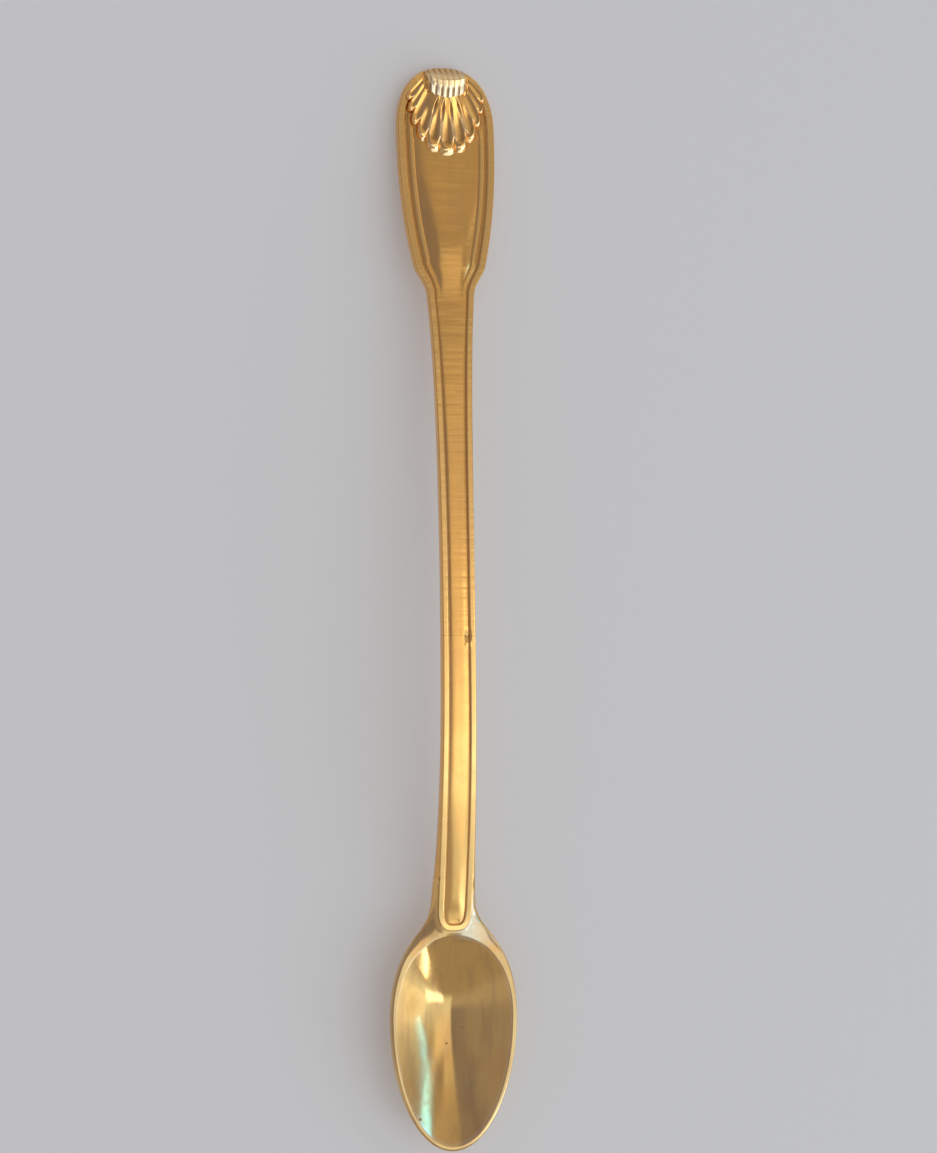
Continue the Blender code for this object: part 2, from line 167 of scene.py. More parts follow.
def thickness(y):
    stem = between(NECK_THICKNESS, STEM_THICKNESS, ease(y, Y_HEEL, Y_ARCH - Y_HEEL))
    return between(stem, FIDDLE_THICKNESS, ease(y, Y_ARCH, Y_SHOULDER - Y_ARCH))


def back_height(y):
    """The back, worn flat where it would go below the table."""
    return np.maximum(face_height(y) - thickness(y), 0.0)


def middle_height(y):
    """The widest line of the sides, and the level of the lap in the stem."""
    return face_height(y) - thickness(y) / 2


print("face at the arch", round(float(face_height(Y_ARCH)) / MM, 2), "mm")

# %% The outline, from above
STEM_WIDTH, STEM_FLARE, FLARE_RUN = 6.2 * MM, 1.25 * MM, 15.0 * MM
SHOULDER_WIDTH, FIDDLE_TAPER, END_FULLNESS = 13.4 * MM, 2.3, 2.3
HEEL_FULLNESS, NECK_FILLET, NECK_EASE = 2.1, 5.0 * MM, 2.2 * MM


def stem_half_width(y):
    neck_flare = STEM_FLARE * np.exp(np.minimum(Y_HEEL - y, 0.0) / FLARE_RUN)
    return STEM_WIDTH / 2 + neck_flare + STEM_FLARE * np.exp((y - Y_SHOULDER) / FLARE_RUN)


def handle_half_width(y):
    """The stem's side, carried over the shoulder into the side of the fiddle end."""
    taper = (np.maximum(Y_ROUND - y, 0.0) / (Y_ROUND - Y_CORNER)) ** FIDDLE_TAPER
    fiddle = (FIDDLE_WIDTH - (FIDDLE_WIDTH - SHOULDER_WIDTH) * taper) / 2
    stem = stem_half_width(np.minimum(y, Y_SHOULDER))
    return between(stem, fiddle, ease(y, Y_SHOULDER, Y_CORNER - Y_SHOULDER))


def bowl_half_width(y):
    """The heel side of the bowl, where the egg runs into the neck, eased by a running average."""
    reach = NECK_EASE * ease(y, Y_HEEL - 10.0 * MM, 6.0 * MM)
    total = 0.0
    for step in np.linspace(-1.0, 1.0, 9):
        place = y + step * reach
        share = np.clip((place - Y_WIDEST) / (Y_HEEL - Y_WIDEST), 0.0, 1.0)
        egg = BOWL_WIDTH / 2 * (1.0 - share ** HEEL_FULLNESS) ** (1 / HEEL_FULLNESS)
        total = total + smooth_max(egg, stem_half_width(place), NECK_FILLET) / 9
    return total


def egg_share(x, y, half_width, tip_reach, heel_reach):
    """Distance from the middle of an egg, as a share of the distance to its outline that way."""
    along = y - Y_WIDEST
    tip = np.hypot(np.abs(x) / half_width, along / tip_reach)
    heel = (np.abs(x) / half_width) ** HEEL_FULLNESS + (np.abs(along) / heel_reach) ** HEEL_FULLNESS
    return np.where(along > 0, heel ** (1 / HEEL_FULLNESS), tip)


print("half widths", [round(float(handle_half_width(y)) / MM, 2) for y in (Y_NECK, 0.0, Y_SHOULDER, Y_ROUND)])

# %% [markdown]
# ## Writing node trees as formulas
# Geometry Nodes and shader groups are both wired from Math nodes. Wiring them one by one hides the rule that
# they follow, so a small class lets a socket stand in a formula: each plus or times becomes a Math node. The
# same glide() that shapes the handle then also shapes the shell's seat inside a node tree.

# %% A socket that can be used in formulas


def plug(tree, value, slot):
    if isinstance(value, Field):
        tree.links.new(value.socket, slot)
    else:
        slot.default_value = value


def formula(tree, operation, *values):
    node = tree.nodes.new("ShaderNodeMath")
    node.operation = operation
    for value, slot in zip(values, node.inputs):
        plug(tree, value, slot)
    return Field(tree, node.outputs[0])


def arithmetic(operation, turned=False):
    """A method that makes a Math node, with its two values turned round if asked."""
    def method(self, other):
        return formula(self.tree, operation, *((other, self) if turned else (self, other)))
    return method


CLOSING = 0.9999  # a hair under 1, so that a rounded edge is sure to come down to 0


class Field:
    """A socket of a node tree, whose arithmetic makes Math nodes."""

    def __init__(self, tree, socket):
        self.tree = tree
        self.socket = socket

    __add__ = __radd__ = arithmetic("ADD")
    __sub__, __rsub__ = arithmetic("SUBTRACT"), arithmetic("SUBTRACT", turned=True)
    __mul__ = __rmul__ = arithmetic("MULTIPLY")
    __truediv__, __pow__ = arithmetic("DIVIDE"), arithmetic("POWER")
    below, above = arithmetic("MINIMUM"), arithmetic("MAXIMUM")

    def plain(self, operation):
        return formula(self.tree, operation, self)

    def ramp(self, first, last):
        """A smooth rise from 0 at first to 1 at last."""
        share = ((self - first) / (last - first)).above(0.0).below(1.0)
        return share * share * (3.0 - 2.0 * share)

    def hump(self, middle, half_width, flatness=2.0):
        """A rounded hump of height 1 about a middle, flatter on top for a higher flatness."""
        across = ((self - middle) / half_width).plain("ABSOLUTE")
        return (1.0 - across ** flatness).above(0.0).plain("SQRT")

    def round_off(self, start, run):
        """A quarter-round fall from 1 at the start of a run to 0 at its end."""
        past = ((self - start) / run).above(0.0)
        return (CLOSING - past ** 2.0).above(0.0).plain("SQRT")


def start_tree(name, kind, inputs, outputs):
    """An empty node tree with named sockets: its inputs as fields, and the node that its outputs go to."""
    tree = bpy.data.node_groups.new(name, kind)
    for label, socket_type, value in inputs:
        socket = tree.interface.new_socket(label, in_out="INPUT", socket_type=socket_type)
        if value is not None:
            socket.default_value = value
    for label, socket_type in outputs:
        tree.interface.new_socket(label, in_out="OUTPUT", socket_type=socket_type)
    entry = tree.nodes.new("NodeGroupInput")
    fields = {socket.name: Field(tree, socket) for socket in entry.outputs if socket.name}
    return tree, fields, tree.nodes.new("NodeGroupOutput")


def place_node(tree, kind, settings=None, **values):
    """A node with its own settings, and values or fields on its inputs by name."""
    node = tree.nodes.new(kind)
    for label, value in (settings or {}).items():
        setattr(node, label, value)
    for label, value in values.items():
        plug(tree, value, node.inputs[label.replace("_", " ")])
    return node


def output(tree, kind, name, settings=None, **values):
    """One output of a new node, as a field."""
    return Field(tree, place_node(tree, kind, settings, **values).outputs[name])


print("formulas ready")

# %% [markdown]
# ## Gilding
# The gold is thin and old: rubbed pale on the crests, brown where polish never reached, clouded in between
# and crossed by hairline scratches. One material for everything would look cast in one go, so two shared node
# groups make those effects, and each piece gives them its own strengths. The pieces carry two measures on
# their own points, how deep in a recess and how high on a crest each one lies, and the groups read those. The
# same brown also paints shade in the shell's flutes, round the shell and on its hinge, and the same pale
# colour paints sheen on the shell's lips, on the hinge's front slope and on the right side of the bowl's land.

# %% Tarnish, wear, painted shade and painted sheen
CLOUD_SCALE, SPECK_SCALE, STREAK_SCALE = 160.0, 1400.0, 420.0


def object_coordinates(tree):
    return output(tree, "ShaderNodeTexCoord", "Object")


def noise(tree, vector, scale, detail, roughness=0.5):
    values = {"Vector": vector, "Scale": scale, "Detail": detail, "Roughness": roughness}
    return output(tree, "ShaderNodeTexNoise", "Fac", **values)


def stretched(tree, vector, scale, turn_by=0.0):
    values = {"Vector": vector, "Scale": scale, "Rotation": (0.0, 0.0, turn_by)}
    return output(tree, "ShaderNodeMapping", "Vector", **values)


def mixed(tree, share, first, second):
    node = tree.nodes.new("ShaderNodeMix")
    node.data_type = "RGBA"
    plug(tree, share, node.inputs["Factor"])
    plug(tree, first, node.inputs[6])
    plug(tree, second, node.inputs[7])
    return Field(tree, node.outputs[2])


def make_gilt_tone():
    labels = ("Gold", "Clouded", "Stain", "Worn", "Brown")
    colours = [(label, "NodeSocketColor", (1.0, 1.0, 1.0, 1.0)) for label in labels]
    shares = [(label, "NodeSocketFloat", 0.5) for label in ("Clouds", "Streaks", "Wear", "Dirt")]
    polish = [("Polish", "NodeSocketFloat", 0.15), ("Dullness", "NodeSocketFloat", 0.2)]
    outputs = [("Color", "NodeSocketColor"), ("Roughness", "NodeSocketFloat")]
    tree, given, leave = start_tree("gilt tone and painted light", "ShaderNodeTree", colours + shares + polish, outputs)
    place = object_coordinates(tree)
    recess_and_shade, crest_and_sheen = (
        output(tree, "ShaderNodeAttribute", "Fac", {"attribute_name": label}) for label in ("recess_and_shade", "crest_and_sheen")
    )
    cloud = noise(tree, place, CLOUD_SCALE, 4.0, 0.6).ramp(0.35, 0.7)
    speck = noise(tree, place, SPECK_SCALE, 3.0, 0.6)
    # Recesses turn brown, which is dirt in grooves and seams but painted shade on the shell and round it;
    # crests turn pale, which is wear but also painted sheen on the shell's lips, the hinge's front slope and
    # the bowl's land.
    dirt_and_shade = (recess_and_shade * given["Dirt"] * (0.55 + speck)).below(1.0)
    wear_and_sheen = (crest_and_sheen * given["Wear"] * (0.5 + speck)).below(1.0)
    clouded = (cloud * given["Clouds"]).below(1.0)
    streak = noise(tree, stretched(tree, place, (1.0, 0.14, 1.0)), STREAK_SCALE, 3.0, 0.55).ramp(0.44, 0.68)
    colour = mixed(tree, clouded, given["Gold"], given["Clouded"])
    colour = mixed(tree, streak * given["Streaks"], colour, given["Stain"])
    colour = mixed(tree, wear_and_sheen, colour, given["Worn"])
    colour = mixed(tree, dirt_and_shade, colour, given["Brown"])
    rough = given["Polish"] + given["Dullness"] * (0.5 * clouded + 0.25 * speck.ramp(0.45, 0.7)) + 0.35 * dirt_and_shade
    plug(tree, colour, leave.inputs["Color"])
    plug(tree, rough, leave.inputs["Roughness"])
    return tree


GILT_TONE = make_gilt_tone()
print("group:", GILT_TONE.name, [socket.name for socket in GILT_TONE.interface.items_tree])

# %% Polishing scratches and ripples
HAIR_SCALE, HAIR_DEPTH = 2600.0, 0.06
RIPPLE_SCALE, PLANISH_SCALE, PIT_SCALE = 900.0, 260.0, 330.0


def make_scratches():
    inputs = [("Scratches", "NodeSocketFloat", 0.5), ("Ripples", "NodeSocketFloat", 0.2)]
    inputs += [("Pits", "NodeSocketFloat", 0.0), ("Hammering", "NodeSocketFloat", 0.3)]
    outputs = [("Height", "NodeSocketFloat"), ("Pit Mask", "NodeSocketFloat")]
    tree, given, leave = start_tree("scratches and ripples", "ShaderNodeTree", inputs, outputs)
    place = object_coordinates(tree)
    hairs = None
    for turn_by, length in ((0.25, 0.03), (-0.5, 0.045), (1.2, 0.05)):
        line = noise(tree, stretched(tree, place, (1.0, length, 0.3), turn_by), HAIR_SCALE, 2.0)
        hair = line.ramp(0.62, 0.72)
        hairs = hair if hairs is None else hairs + hair
    ripple = noise(tree, stretched(tree, place, (0.12, 1.0, 0.3)), RIPPLE_SCALE, 2.0)
    planish = noise(tree, place, PLANISH_SCALE, 1.0)
    cells = place_node(tree, "ShaderNodeTexVoronoi", {"feature": "F1"}, Vector=place, Scale=PIT_SCALE)
    chance = output(tree, "ShaderNodeSeparateColor", "Red", Color=Field(tree, cells.outputs["Color"]))
    spot = 1.0 - Field(tree, cells.outputs["Distance"]).ramp(0.05, 0.11)
    pit = spot * chance.ramp(0.86, 0.87) * given["Pits"]
    height = given["Ripples"] * ripple + given["Hammering"] * planish
    height = height - HAIR_DEPTH * given["Scratches"] * hairs - pit
    plug(tree, height, leave.inputs["Height"])
    plug(tree, pit, leave.inputs["Pit Mask"])
    return tree


SCRATCHES = make_scratches()
print("group:", SCRATCHES.name, [socket.name for socket in SCRATCHES.interface.items_tree])

# %% The four gildings
GOLD = (0.9, 0.505, 0.155, 1.0)
CLOUDED = (0.84, 0.44, 0.135, 1.0)
STAIN = (0.66, 0.4, 0.17, 1.0)
WORN = (0.95, 0.64, 0.28, 1.0)
BROWN = (0.34, 0.15, 0.05, 1.0)
COLOURS = {"Gold": GOLD, "Clouded": CLOUDED, "Stain": STAIN, "Worn": WORN, "Brown": BROWN}
RELIEF = 0.02 * MM


def gilding(name, marks, **tone_values):
    """A gilt finish: tone values go to the first group, and marks to the second. The first group paints shade
    and sheen as well as dirt and wear, where the pieces mark them.
    """
    material = bpy.data.materials.new(name)
    material.use_nodes = True
    tree = material.node_tree
    shader = tree.nodes["Principled BSDF"]
    shader.inputs["Metallic"].default_value = 1.0
    tone = place_node(tree, "ShaderNodeGroup", {"node_tree": GILT_TONE})
    relief = place_node(tree, "ShaderNodeGroup", {"node_tree": SCRATCHES})
    for label, value in {**COLOURS, **tone_values}.items():
        tone.inputs[label].default_value = value
    for label, value in marks.items():
        relief.inputs[label].default_value = value
    bump = place_node(tree, "ShaderNodeBump", Strength=1.0, Distance=RELIEF)
    tree.links.new(relief.outputs["Height"], bump.inputs["Height"])
    tree.links.new(bump.outputs["Normal"], shader.inputs["Normal"])
    pitted = mixed(tree, Field(tree, relief.outputs["Pit Mask"]), Field(tree, tone.outputs["Color"]), BROWN)
    tree.links.new(pitted.socket, shader.inputs["Base Color"])
    tree.links.new(tone.outputs["Roughness"], shader.inputs["Roughness"])
    return material


# The bowl's pale colour is wear on the rim and painted sheen on the right side of the land.
bowl_gilding = gilding(
    "bowl gilding", {"Scratches": 0.7, "Ripples": 0.0, "Pits": 1.0, "Hammering": 0.6},
    Gold=(0.9, 0.56, 0.2, 1.0), Worn=(0.93, 0.79, 0.58, 1.0),
    Clouds=0.4, Streaks=0.55, Wear=0.36, Dirt=0.7, Polish=0.11, Dullness=0.14,
)
stem_gilding = gilding(
    "stem gilding", {"Scratches": 0.5, "Ripples": 0.3, "Pits": 0.0, "Hammering": 0.5},
    Clouds=0.5, Streaks=0.2, Wear=0.4, Dirt=0.4, Polish=0.2, Dullness=0.16,
)
# The fiddle's dirt strength browns its grooves and also paints the shade round the shell.
fiddle_gilding = gilding(
    "fiddle gilding", {"Scratches": 0.5, "Ripples": 1.7, "Pits": 0.0, "Hammering": 0.8},
    Clouds=0.6, Streaks=0.2, Wear=0.4, Dirt=0.5, Polish=0.14, Dullness=0.14,
)
# The shell's dark brown and strong dirt paint shade in its flutes, round its edge and on the back of the
# hinge; its pale colour paints sheen on the lips and the hinge's front slope, as well as wear on the ridges.
shell_gilding = gilding(
    "shell gilding", {"Scratches": 0.15, "Ripples": 0.0, "Pits": 0.0, "Hammering": 0.3},
    Worn=(0.93, 0.78, 0.52, 1.0), Brown=(0.24, 0.11, 0.04, 1.0),
    Clouds=0.3, Streaks=0.0, Wear=0.5, Dirt=0.85, Polish=0.15, Dullness=0.12,
)
print("gildings:", [material.name for material in bpy.data.materials if "gilding" in material.name])

# %% [markdown]
# ## From rings of points to a piece
# Most of the pieces are lofts: rings of points, one after the other along the spoon, joined by faces. The
# mesh is built from whole arrays, doubled points are merged where a ring closes on itself, and the faces are
# turned outwards. Measures that a material needs are stored on the points at the same time.

# %% Loft helpers


def mirrored(half):
    """Full rings from right halves of shape (rings, points, 3), whose ends lie in the middle plane."""
    left = half[:, -2:0:-1].copy()
    left[:, :, 0] *= -1.0
    return np.concatenate([half, left], axis=1)


def mirrored_measure(half):
    return np.concatenate([half, half[:, -2:0:-1]], axis=1)


def store_measure(piece, label, values):
    store = piece.data.attributes.get(label) or piece.data.attributes.new(label, "FLOAT", "POINT")
    store.data.foreach_set("value", np.ascontiguousarray(values, dtype=np.float32).ravel())


def measure_of(piece, label):
    values = np.empty(len(piece.data.vertices))
    piece.data.attributes[label].data.foreach_get("value", values)
    return values


def loft(name, rings, measures=None, caps=(True, True)):
    """A closed piece from an array of rings, with named measures on its points."""
    count, points = rings.shape[:2]
    index = np.arange(count * points).reshape(count, points)
    beside = np.roll(index, 1, axis=1)
    quads = np.stack([beside[:-1], index[:-1], index[1:], beside[1:]], axis=-1).reshape(-1, 4).tolist()
    ends = [index[0].tolist()] * caps[0] + [index[-1].tolist()] * caps[1]
    mesh = bpy.data.meshes.new(name)
    mesh.from_pydata(rings.reshape(-1, 3).tolist(), [], quads + ends)
    piece = add_object(name, mesh)
    for label, values in (measures or {}).items():
        store_measure(piece, label, values)
    clean(piece)
    return piece


def clean(piece, sharp=40.0):
    """Merge doubled points, turn the faces outwards and shade them smooth but for sharp edges."""
    shape = bmesh.new()
    shape.from_mesh(piece.data)
    bmesh.ops.remove_doubles(shape, verts=shape.verts, dist=0.001 * MM)
    bmesh.ops.dissolve_degenerate(shape, edges=shape.edges, dist=0.0005 * MM)
    bmesh.ops.recalc_face_normals(shape, faces=shape.faces)
    shape.to_mesh(piece.data)
    shape.free()
    piece.data.shade_smooth()
    piece.data.set_sharp_from_angle(angle=math.radians(sharp))


def apply_modifiers(piece):
    """Turn what the modifiers give into a plain mesh."""
    graph = bpy.context.evaluated_depsgraph_get()
    result = bpy.data.meshes.new_from_object(
        piece.evaluated_get(graph), preserve_all_data_layers=True, depsgraph=graph
    )
    piece.modifiers.clear()
    piece.data = result
    result.name = piece.name


def points_of(piece):
    places = np.empty(len(piece.data.vertices) * 3)
    piece.data.vertices.foreach_get("co", places)
    return places.reshape(-1, 3)


def open_edges(piece):
    shape = bmesh.new()
    shape.from_mesh(piece.data)
    count = sum(not edge.is_manifold for edge in shape.edges)
    shape.free()
    return count


def dress(piece, material, *nodes):
    """Give a finished piece its gilding, and let it stand for its solid."""
    piece.data.materials.clear()
    piece.data.materials.append(material)
    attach(piece, "root")
    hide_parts(*nodes)
    print(piece.name, len(piece.data.polygons), "faces,", open_edges(piece), "open edges")


def outline_stations(x, y):
    """Points along an edge, and the directions that lead from them straight into the metal."""
    dx, dy = np.gradient(x), np.gradient(y)
    length = np.hypot(dx, dy)
    return np.stack([x, y, -dy / length, dx / length], axis=1)


def round_end(half_width, y, reach, fullness, count):
    """Points round an end, from its side at y to its tip. A negative reach points to the bowl."""
    angle = np.linspace(0.0, math.pi / 2, count)
    x = half_width * np.clip(np.cos(angle), 0.0, 1.0) ** (2 / fullness)
    return x, y + reach * np.sin(angle) ** (2 / fullness)


print("loft helpers ready")

# %% [markdown]
# ## The bowl
# A smith raises such a bowl from sheet: the hollow is egg-shaped, deepest at its widest place, and the rim is
# left a little thicker and rounded by wear. It could be a subdivided cage, but the rule of the hollow is
# simple, so its rings are computed. They run from the bottom of the hollow up to the rim, over the land and
# down the outside to the flat that the bowl stands on. The neck is part of it, with a socket for the stem.

# %% Bowl measures
BOWL_WALL, RIM_LAND, RIM_THICKNESS, HEEL_LAND = 1.6 * MM, 1.0 * MM, 1.1 * MM, 3.3 * MM
REST_SHARE = 5.0 * MM / BOWL_WIDTH
HOLLOW_ROUND, BACK_FULLNESS, HEEL_BLEND, NECK_ROUND = 0.5, 1.6, 2.0 * MM, 1.2 * MM
RIM_INSIDE, RIM_INSIDE_DROP = 0.3 * MM, 0.16 * MM
HEEL_INSIDE, HEEL_INSIDE_DROP = 0.9 * MM, 0.22 * MM
RIM_OUTSIDE, RIM_OUTSIDE_DROP = 0.6 * MM, 0.3 * MM
HEEL_OUTSIDE, HEEL_OUTSIDE_DROP = 2.2 * MM, 0.45 * MM
SEAM_SWELL, SEAM_SWELL_RUN = 0.17 * MM, 0.6 * MM
LAND_CROWN, LAND_CROWN_START, LAND_CROWN_RUN = 0.26 * MM, 2.0 * MM, 2.5 * MM
TONGUE_HALF_WIDTH = STEM_WIDTH / 2 + 0.05 * MM


def bowl_outline():
    """Right half of the bowl's edge, from the middle of the neck's end to the tip."""
    neck_x = np.linspace(0.0, stem_half_width(Y_NECK), 10)
    side_y = np.linspace(Y_NECK, Y_HEEL, 26)[1:]
    turn_heel = np.linspace(math.pi / 2, 0.0, 58)[1:]
    heel_y = Y_WIDEST + (Y_HEEL - Y_WIDEST) * np.sin(turn_heel) ** (2 / HEEL_FULLNESS)
    side_y = np.concatenate([side_y, heel_y])
    turn_tip = np.linspace(0.0, math.pi / 2, 62)[1:]
    tip_x = BOWL_WIDTH / 2 * np.cos(turn_tip)
    tip_y = Y_WIDEST - (Y_WIDEST - Y_TIP) * np.sin(turn_tip)
    tip_x[-1] = 0.0
    x = np.concatenate([neck_x, bowl_half_width(side_y), tip_x])
    y = np.concatenate([np.full(10, Y_NECK), side_y, tip_y])
    return x, y


def toward_middle(x, y, share):
    return x * share, between(Y_WIDEST, y, share)


def inside_share(x, y):
    heel_reach = Y_HEEL - Y_WIDEST - HEEL_LAND
    return egg_share(x, y, BOWL_WIDTH / 2 - RIM_LAND, Y_WIDEST - Y_TIP - RIM_LAND, heel_reach)


def outside_share(x, y):
    return egg_share(x, y, BOWL_WIDTH / 2, Y_WIDEST - Y_TIP, Y_HEEL - Y_WIDEST)


def bowl_back(x, y):
    """Height of the bowl's outside and of the neck's back, blended into each other."""
    share = np.maximum(outside_share(x, y) - REST_SHARE, 0.0) / (1.0 - REST_SHARE)
    bowl = (face_height(y) - RIM_THICKNESS) * share ** BACK_FULLNESS
    into_bowl = np.maximum(Y_HEEL - HEEL_LAND - y, 0.0)
    neck = back_height(y) + NECK_ROUND * (x / stem_half_width(y)) ** 4 + into_bowl
    return -smooth_max(-bowl, -neck, HEEL_BLEND)


def round_over(distance, run, drop):
    """How far a rounded edge has dropped, at a distance in from it."""
    rest = np.clip(1.0 - distance / run, 0.0, 1.0)
    return drop * (1.0 - np.sqrt(1.0 - rest * rest))


print("bowl", round(BOWL_WIDTH / MM, 1), "mm wide,", round((Y_HEEL - Y_TIP) / MM, 1), "mm long")

# %% The tongue's outline
TONGUE_ROUND, TONGUE_FULLNESS, TONGUE_DEPTH, SEAM_GAP = 5.0 * MM, 2.9, 1.5 * MM, 0.04 * MM
TONGUE_TIP = Y_TONGUE - 0.6 * MM


def tongue_edge(grow=0.0, count=40):
    """The tongue's right edge, from its tip to the neck's end."""
    straight = TONGUE_TIP + TONGUE_ROUND
    x, y = round_end(TONGUE_HALF_WIDTH, straight, -TONGUE_ROUND, TONGUE_FULLNESS, count)
    x, y = x[::-1], y[::-1]
    x[0] = 0.0
    side = np.linspace(straight, Y_NECK, 12)[1:]
    x = np.concatenate([x, np.full(len(side), TONGUE_HALF_WIDTH)])
    y = np.concatenate([y, side])
    stations = outline_stations(x, y)
    stations[0, 2:] = (0.0, 1.0)
    return np.stack([x - stations[:, 2] * grow, y - stations[:, 3] * grow], axis=1), stations


print("tongue", round(2 * TONGUE_HALF_WIDTH / MM, 1), "mm wide")

# %% Rim and land


def finely(x, y, count=1500):
    """A line from above, divided finely and evenly."""
    walked = np.concatenate([[0.0], np.cumsum(np.hypot(np.diff(x), np.diff(y)))])
    steps = np.linspace(0.0, walked[-1], count)
    return np.stack([np.interp(steps, walked, x), np.interp(steps, walked, y)], axis=1)


def distance_to(line, x, y):
    """Shortest distance from each place to a finely divided line on the right-hand side."""
    gaps = [np.hypot(np.abs(x) - px, y - py) for px, py in line]
    return np.minimum.reduce(gaps)


edge_x, edge_y = bowl_outline()
to_hollow = 1.0 / inside_share(edge_x, edge_y)
side_line = finely(edge_x[9:], edge_y[9:])
hollow_line = finely(*toward_middle(edge_x, edge_y, to_hollow))
tongue_line = finely(*tongue_edge()[0].T)


def heelness(y):
    """How far the narrow rim has become the broad land by the heel."""
    return ease(y, Y_HEEL - 7.0 * MM, 4.5 * MM)


def land_crown(x, y):
    """How far the land by the heel falls away to both sides."""
    beside = np.maximum(np.abs(x) - LAND_CROWN_START, 0.0) / LAND_CROWN_RUN
    return LAND_CROWN * heelness(y) * (1.0 - np.exp(-(beside ** 2)))


def hollow_drop(y):
    return between(RIM_INSIDE_DROP, HEEL_INSIDE_DROP, heelness(y))


def hollow_rise(share):
    """Height of the hollow from its bottom to its edge: a round bottom that runs into straight sides."""
    return (np.hypot(share, HOLLOW_ROUND) - HOLLOW_ROUND) / (math.hypot(1.0, HOLLOW_ROUND) - HOLLOW_ROUND)


def land_height(x, y):
    """The rim and the neck's face, rounded over at the hollow's edge and far more along the neck's sides."""
    neckness = ease(y, Y_HEEL - 4.0 * MM, Y_NECK - Y_HEEL + 4.0 * MM)
    run = between(RIM_OUTSIDE, HEEL_OUTSIDE, heelness(y))
    drop = between(RIM_OUTSIDE_DROP, HEEL_OUTSIDE_DROP, heelness(y))
    run = between(run, stem_half_width(y) - TONGUE_HALF_WIDTH, neckness)
    drop = between(drop, thickness(y) / 2, neckness)
    drop = round_over(distance_to(side_line, x, y), run, drop)
    swell = SEAM_SWELL * np.exp(-((distance_to(tongue_line, x, y) / SEAM_SWELL_RUN) ** 2))
    inside_run = between(RIM_INSIDE, HEEL_INSIDE, heelness(y))
    inside_drop = round_over(distance_to(hollow_line, x, y), inside_run, hollow_drop(y))
    return face_height(y) + swell - drop - inside_drop - land_crown(x, y)


print("rim", round(float(land_height(edge_x[-1], edge_y[-1] + 0.4 * MM)) / MM, 2), "mm up at the tip")

# %% Bowl rings
rows, crests = [], []
hollow_x, hollow_y = toward_middle(edge_x, edge_y, to_hollow)
for share in np.linspace(0.0, 1.0, 52)[1:] ** 0.85:
    x, y = toward_middle(edge_x, edge_y, share * to_hollow)
    top = face_height(hollow_y) - hollow_drop(hollow_y) - land_crown(hollow_x, hollow_y)
    rows.append((x, y, between(BOWL_WALL, top, hollow_rise(share))))
    crests.append(np.full(len(x), ease(share, 0.97, 0.03)))
for share in (1.0 - np.cos(np.linspace(0.0, math.pi, 26)[1:])) / 2:
    x, y = toward_middle(edge_x, edge_y, between(to_hollow, 1.0, share))
    rows.append((x, y, land_height(x, y)))
    crests.append(0.35 - 0.35 * ease(y, Y_HEEL - 5.0 * MM, 4.0 * MM))
edge_z, low_z = rows[-1][2], np.minimum(bowl_back(edge_x, edge_y), rows[-1][2])
for share in (0.35, 0.7):
    rows.append((edge_x, edge_y, between(edge_z, low_z, share)))
    crests.append(0.4 * crests[-1])
for share in 1.0 - np.linspace(0.0, 1.0, 60)[:-1] * (1.0 - REST_SHARE):
    x, y = toward_middle(edge_x, edge_y, share)
    rows.append((x, y, bowl_back(x, y)))
    crests.append(np.zeros(len(x)))
rest_x, rest_y = toward_middle(edge_x, edge_y, REST_SHARE / outside_share(edge_x, edge_y))
rows.append((rest_x, rest_y, np.zeros(len(rest_x))))
crests.append(np.zeros(len(rest_x)))
bowl_rings = np.array(rows).transpose(0, 2, 1)
bowl = loft("gilt_bowl", mirrored(bowl_rings), {"crest_and_sheen": mirrored_measure(np.array(crests))})
print("bowl rings", bowl_rings.shape, "open edges", open_edges(bowl))

# %% [markdown]
# The stem's tongue is let into a socket in the neck. The cleanest way to sink it is a Boolean with the
# tongue's own outline, grown by a hair, so that the seam is as fine as a good solder line.

# %% Socket in the neck
grown = tongue_edge(SEAM_GAP)[0]
grown[0, 0] = 0.0
grown = np.concatenate([grown, [[grown[-1, 0], Y_NECK + 5.0 * MM]]])
cutter_rows = []
for x, y in grown:
    low = float(face_height(y)) - TONGUE_DEPTH - SEAM_GAP
    high = float(face_height(y)) + 2.0 * MM
    cutter_rows.append([(0.0, y, low), (x, y, low), (x, y, high), (0.0, y, high)])
cutter = loft("socket_cutter", mirrored(np.array(cutter_rows)), caps=(False, True))
cut = bowl.modifiers.new("socket", "BOOLEAN")
cut.operation = "DIFFERENCE"
cut.solver = "EXACT"
cut.object = cutter
apply_modifiers(bowl)
bpy.data.objects.remove(cutter)
clean(bowl)
print("bowl with its socket:", len(bowl.data.polygons), "faces")

# %% Dirt along the solder line, and painted sheen on the land
DIRT_WIDTH = 0.14 * MM
places = points_of(bowl)
seam = tongue_edge(SEAM_GAP, 160)[0]
near = distance_to(finely(seam[:, 0], seam[:, 1]), places[:, 0], places[:, 1])
on_top = places[:, 2] > face_height(places[:, 1]) - 0.4 * MM
store_measure(bowl, "recess_and_shade", 0.4 * on_top * np.exp(-((near / DIRT_WIDTH) ** 2)))
# The land by the heel turns pale towards its right side: painted sheen where it faces the light, along with
# wear.
paled = heelness(places[:, 1]) * ease(places[:, 0], -1.5 * MM, 4.5 * MM) * on_top
paled *= 1.0 - ease(places[:, 1], Y_NECK - 6.0 * MM, 4.5 * MM)
store_measure(bowl, "crest_and_sheen", np.maximum(measure_of(bowl, "crest_and_sheen"), 2.2 * paled))
print("points by the solder line:", int((near < DIRT_WIDTH).sum()))

# %% [markdown]
# ## The drop
# Under the neck a tapering drop strengthens the joint between stem and bowl. It is a low swelling that
# follows the back of the bowl, so it is lofted crosswise, each ring hugging the back with a rounded skin.

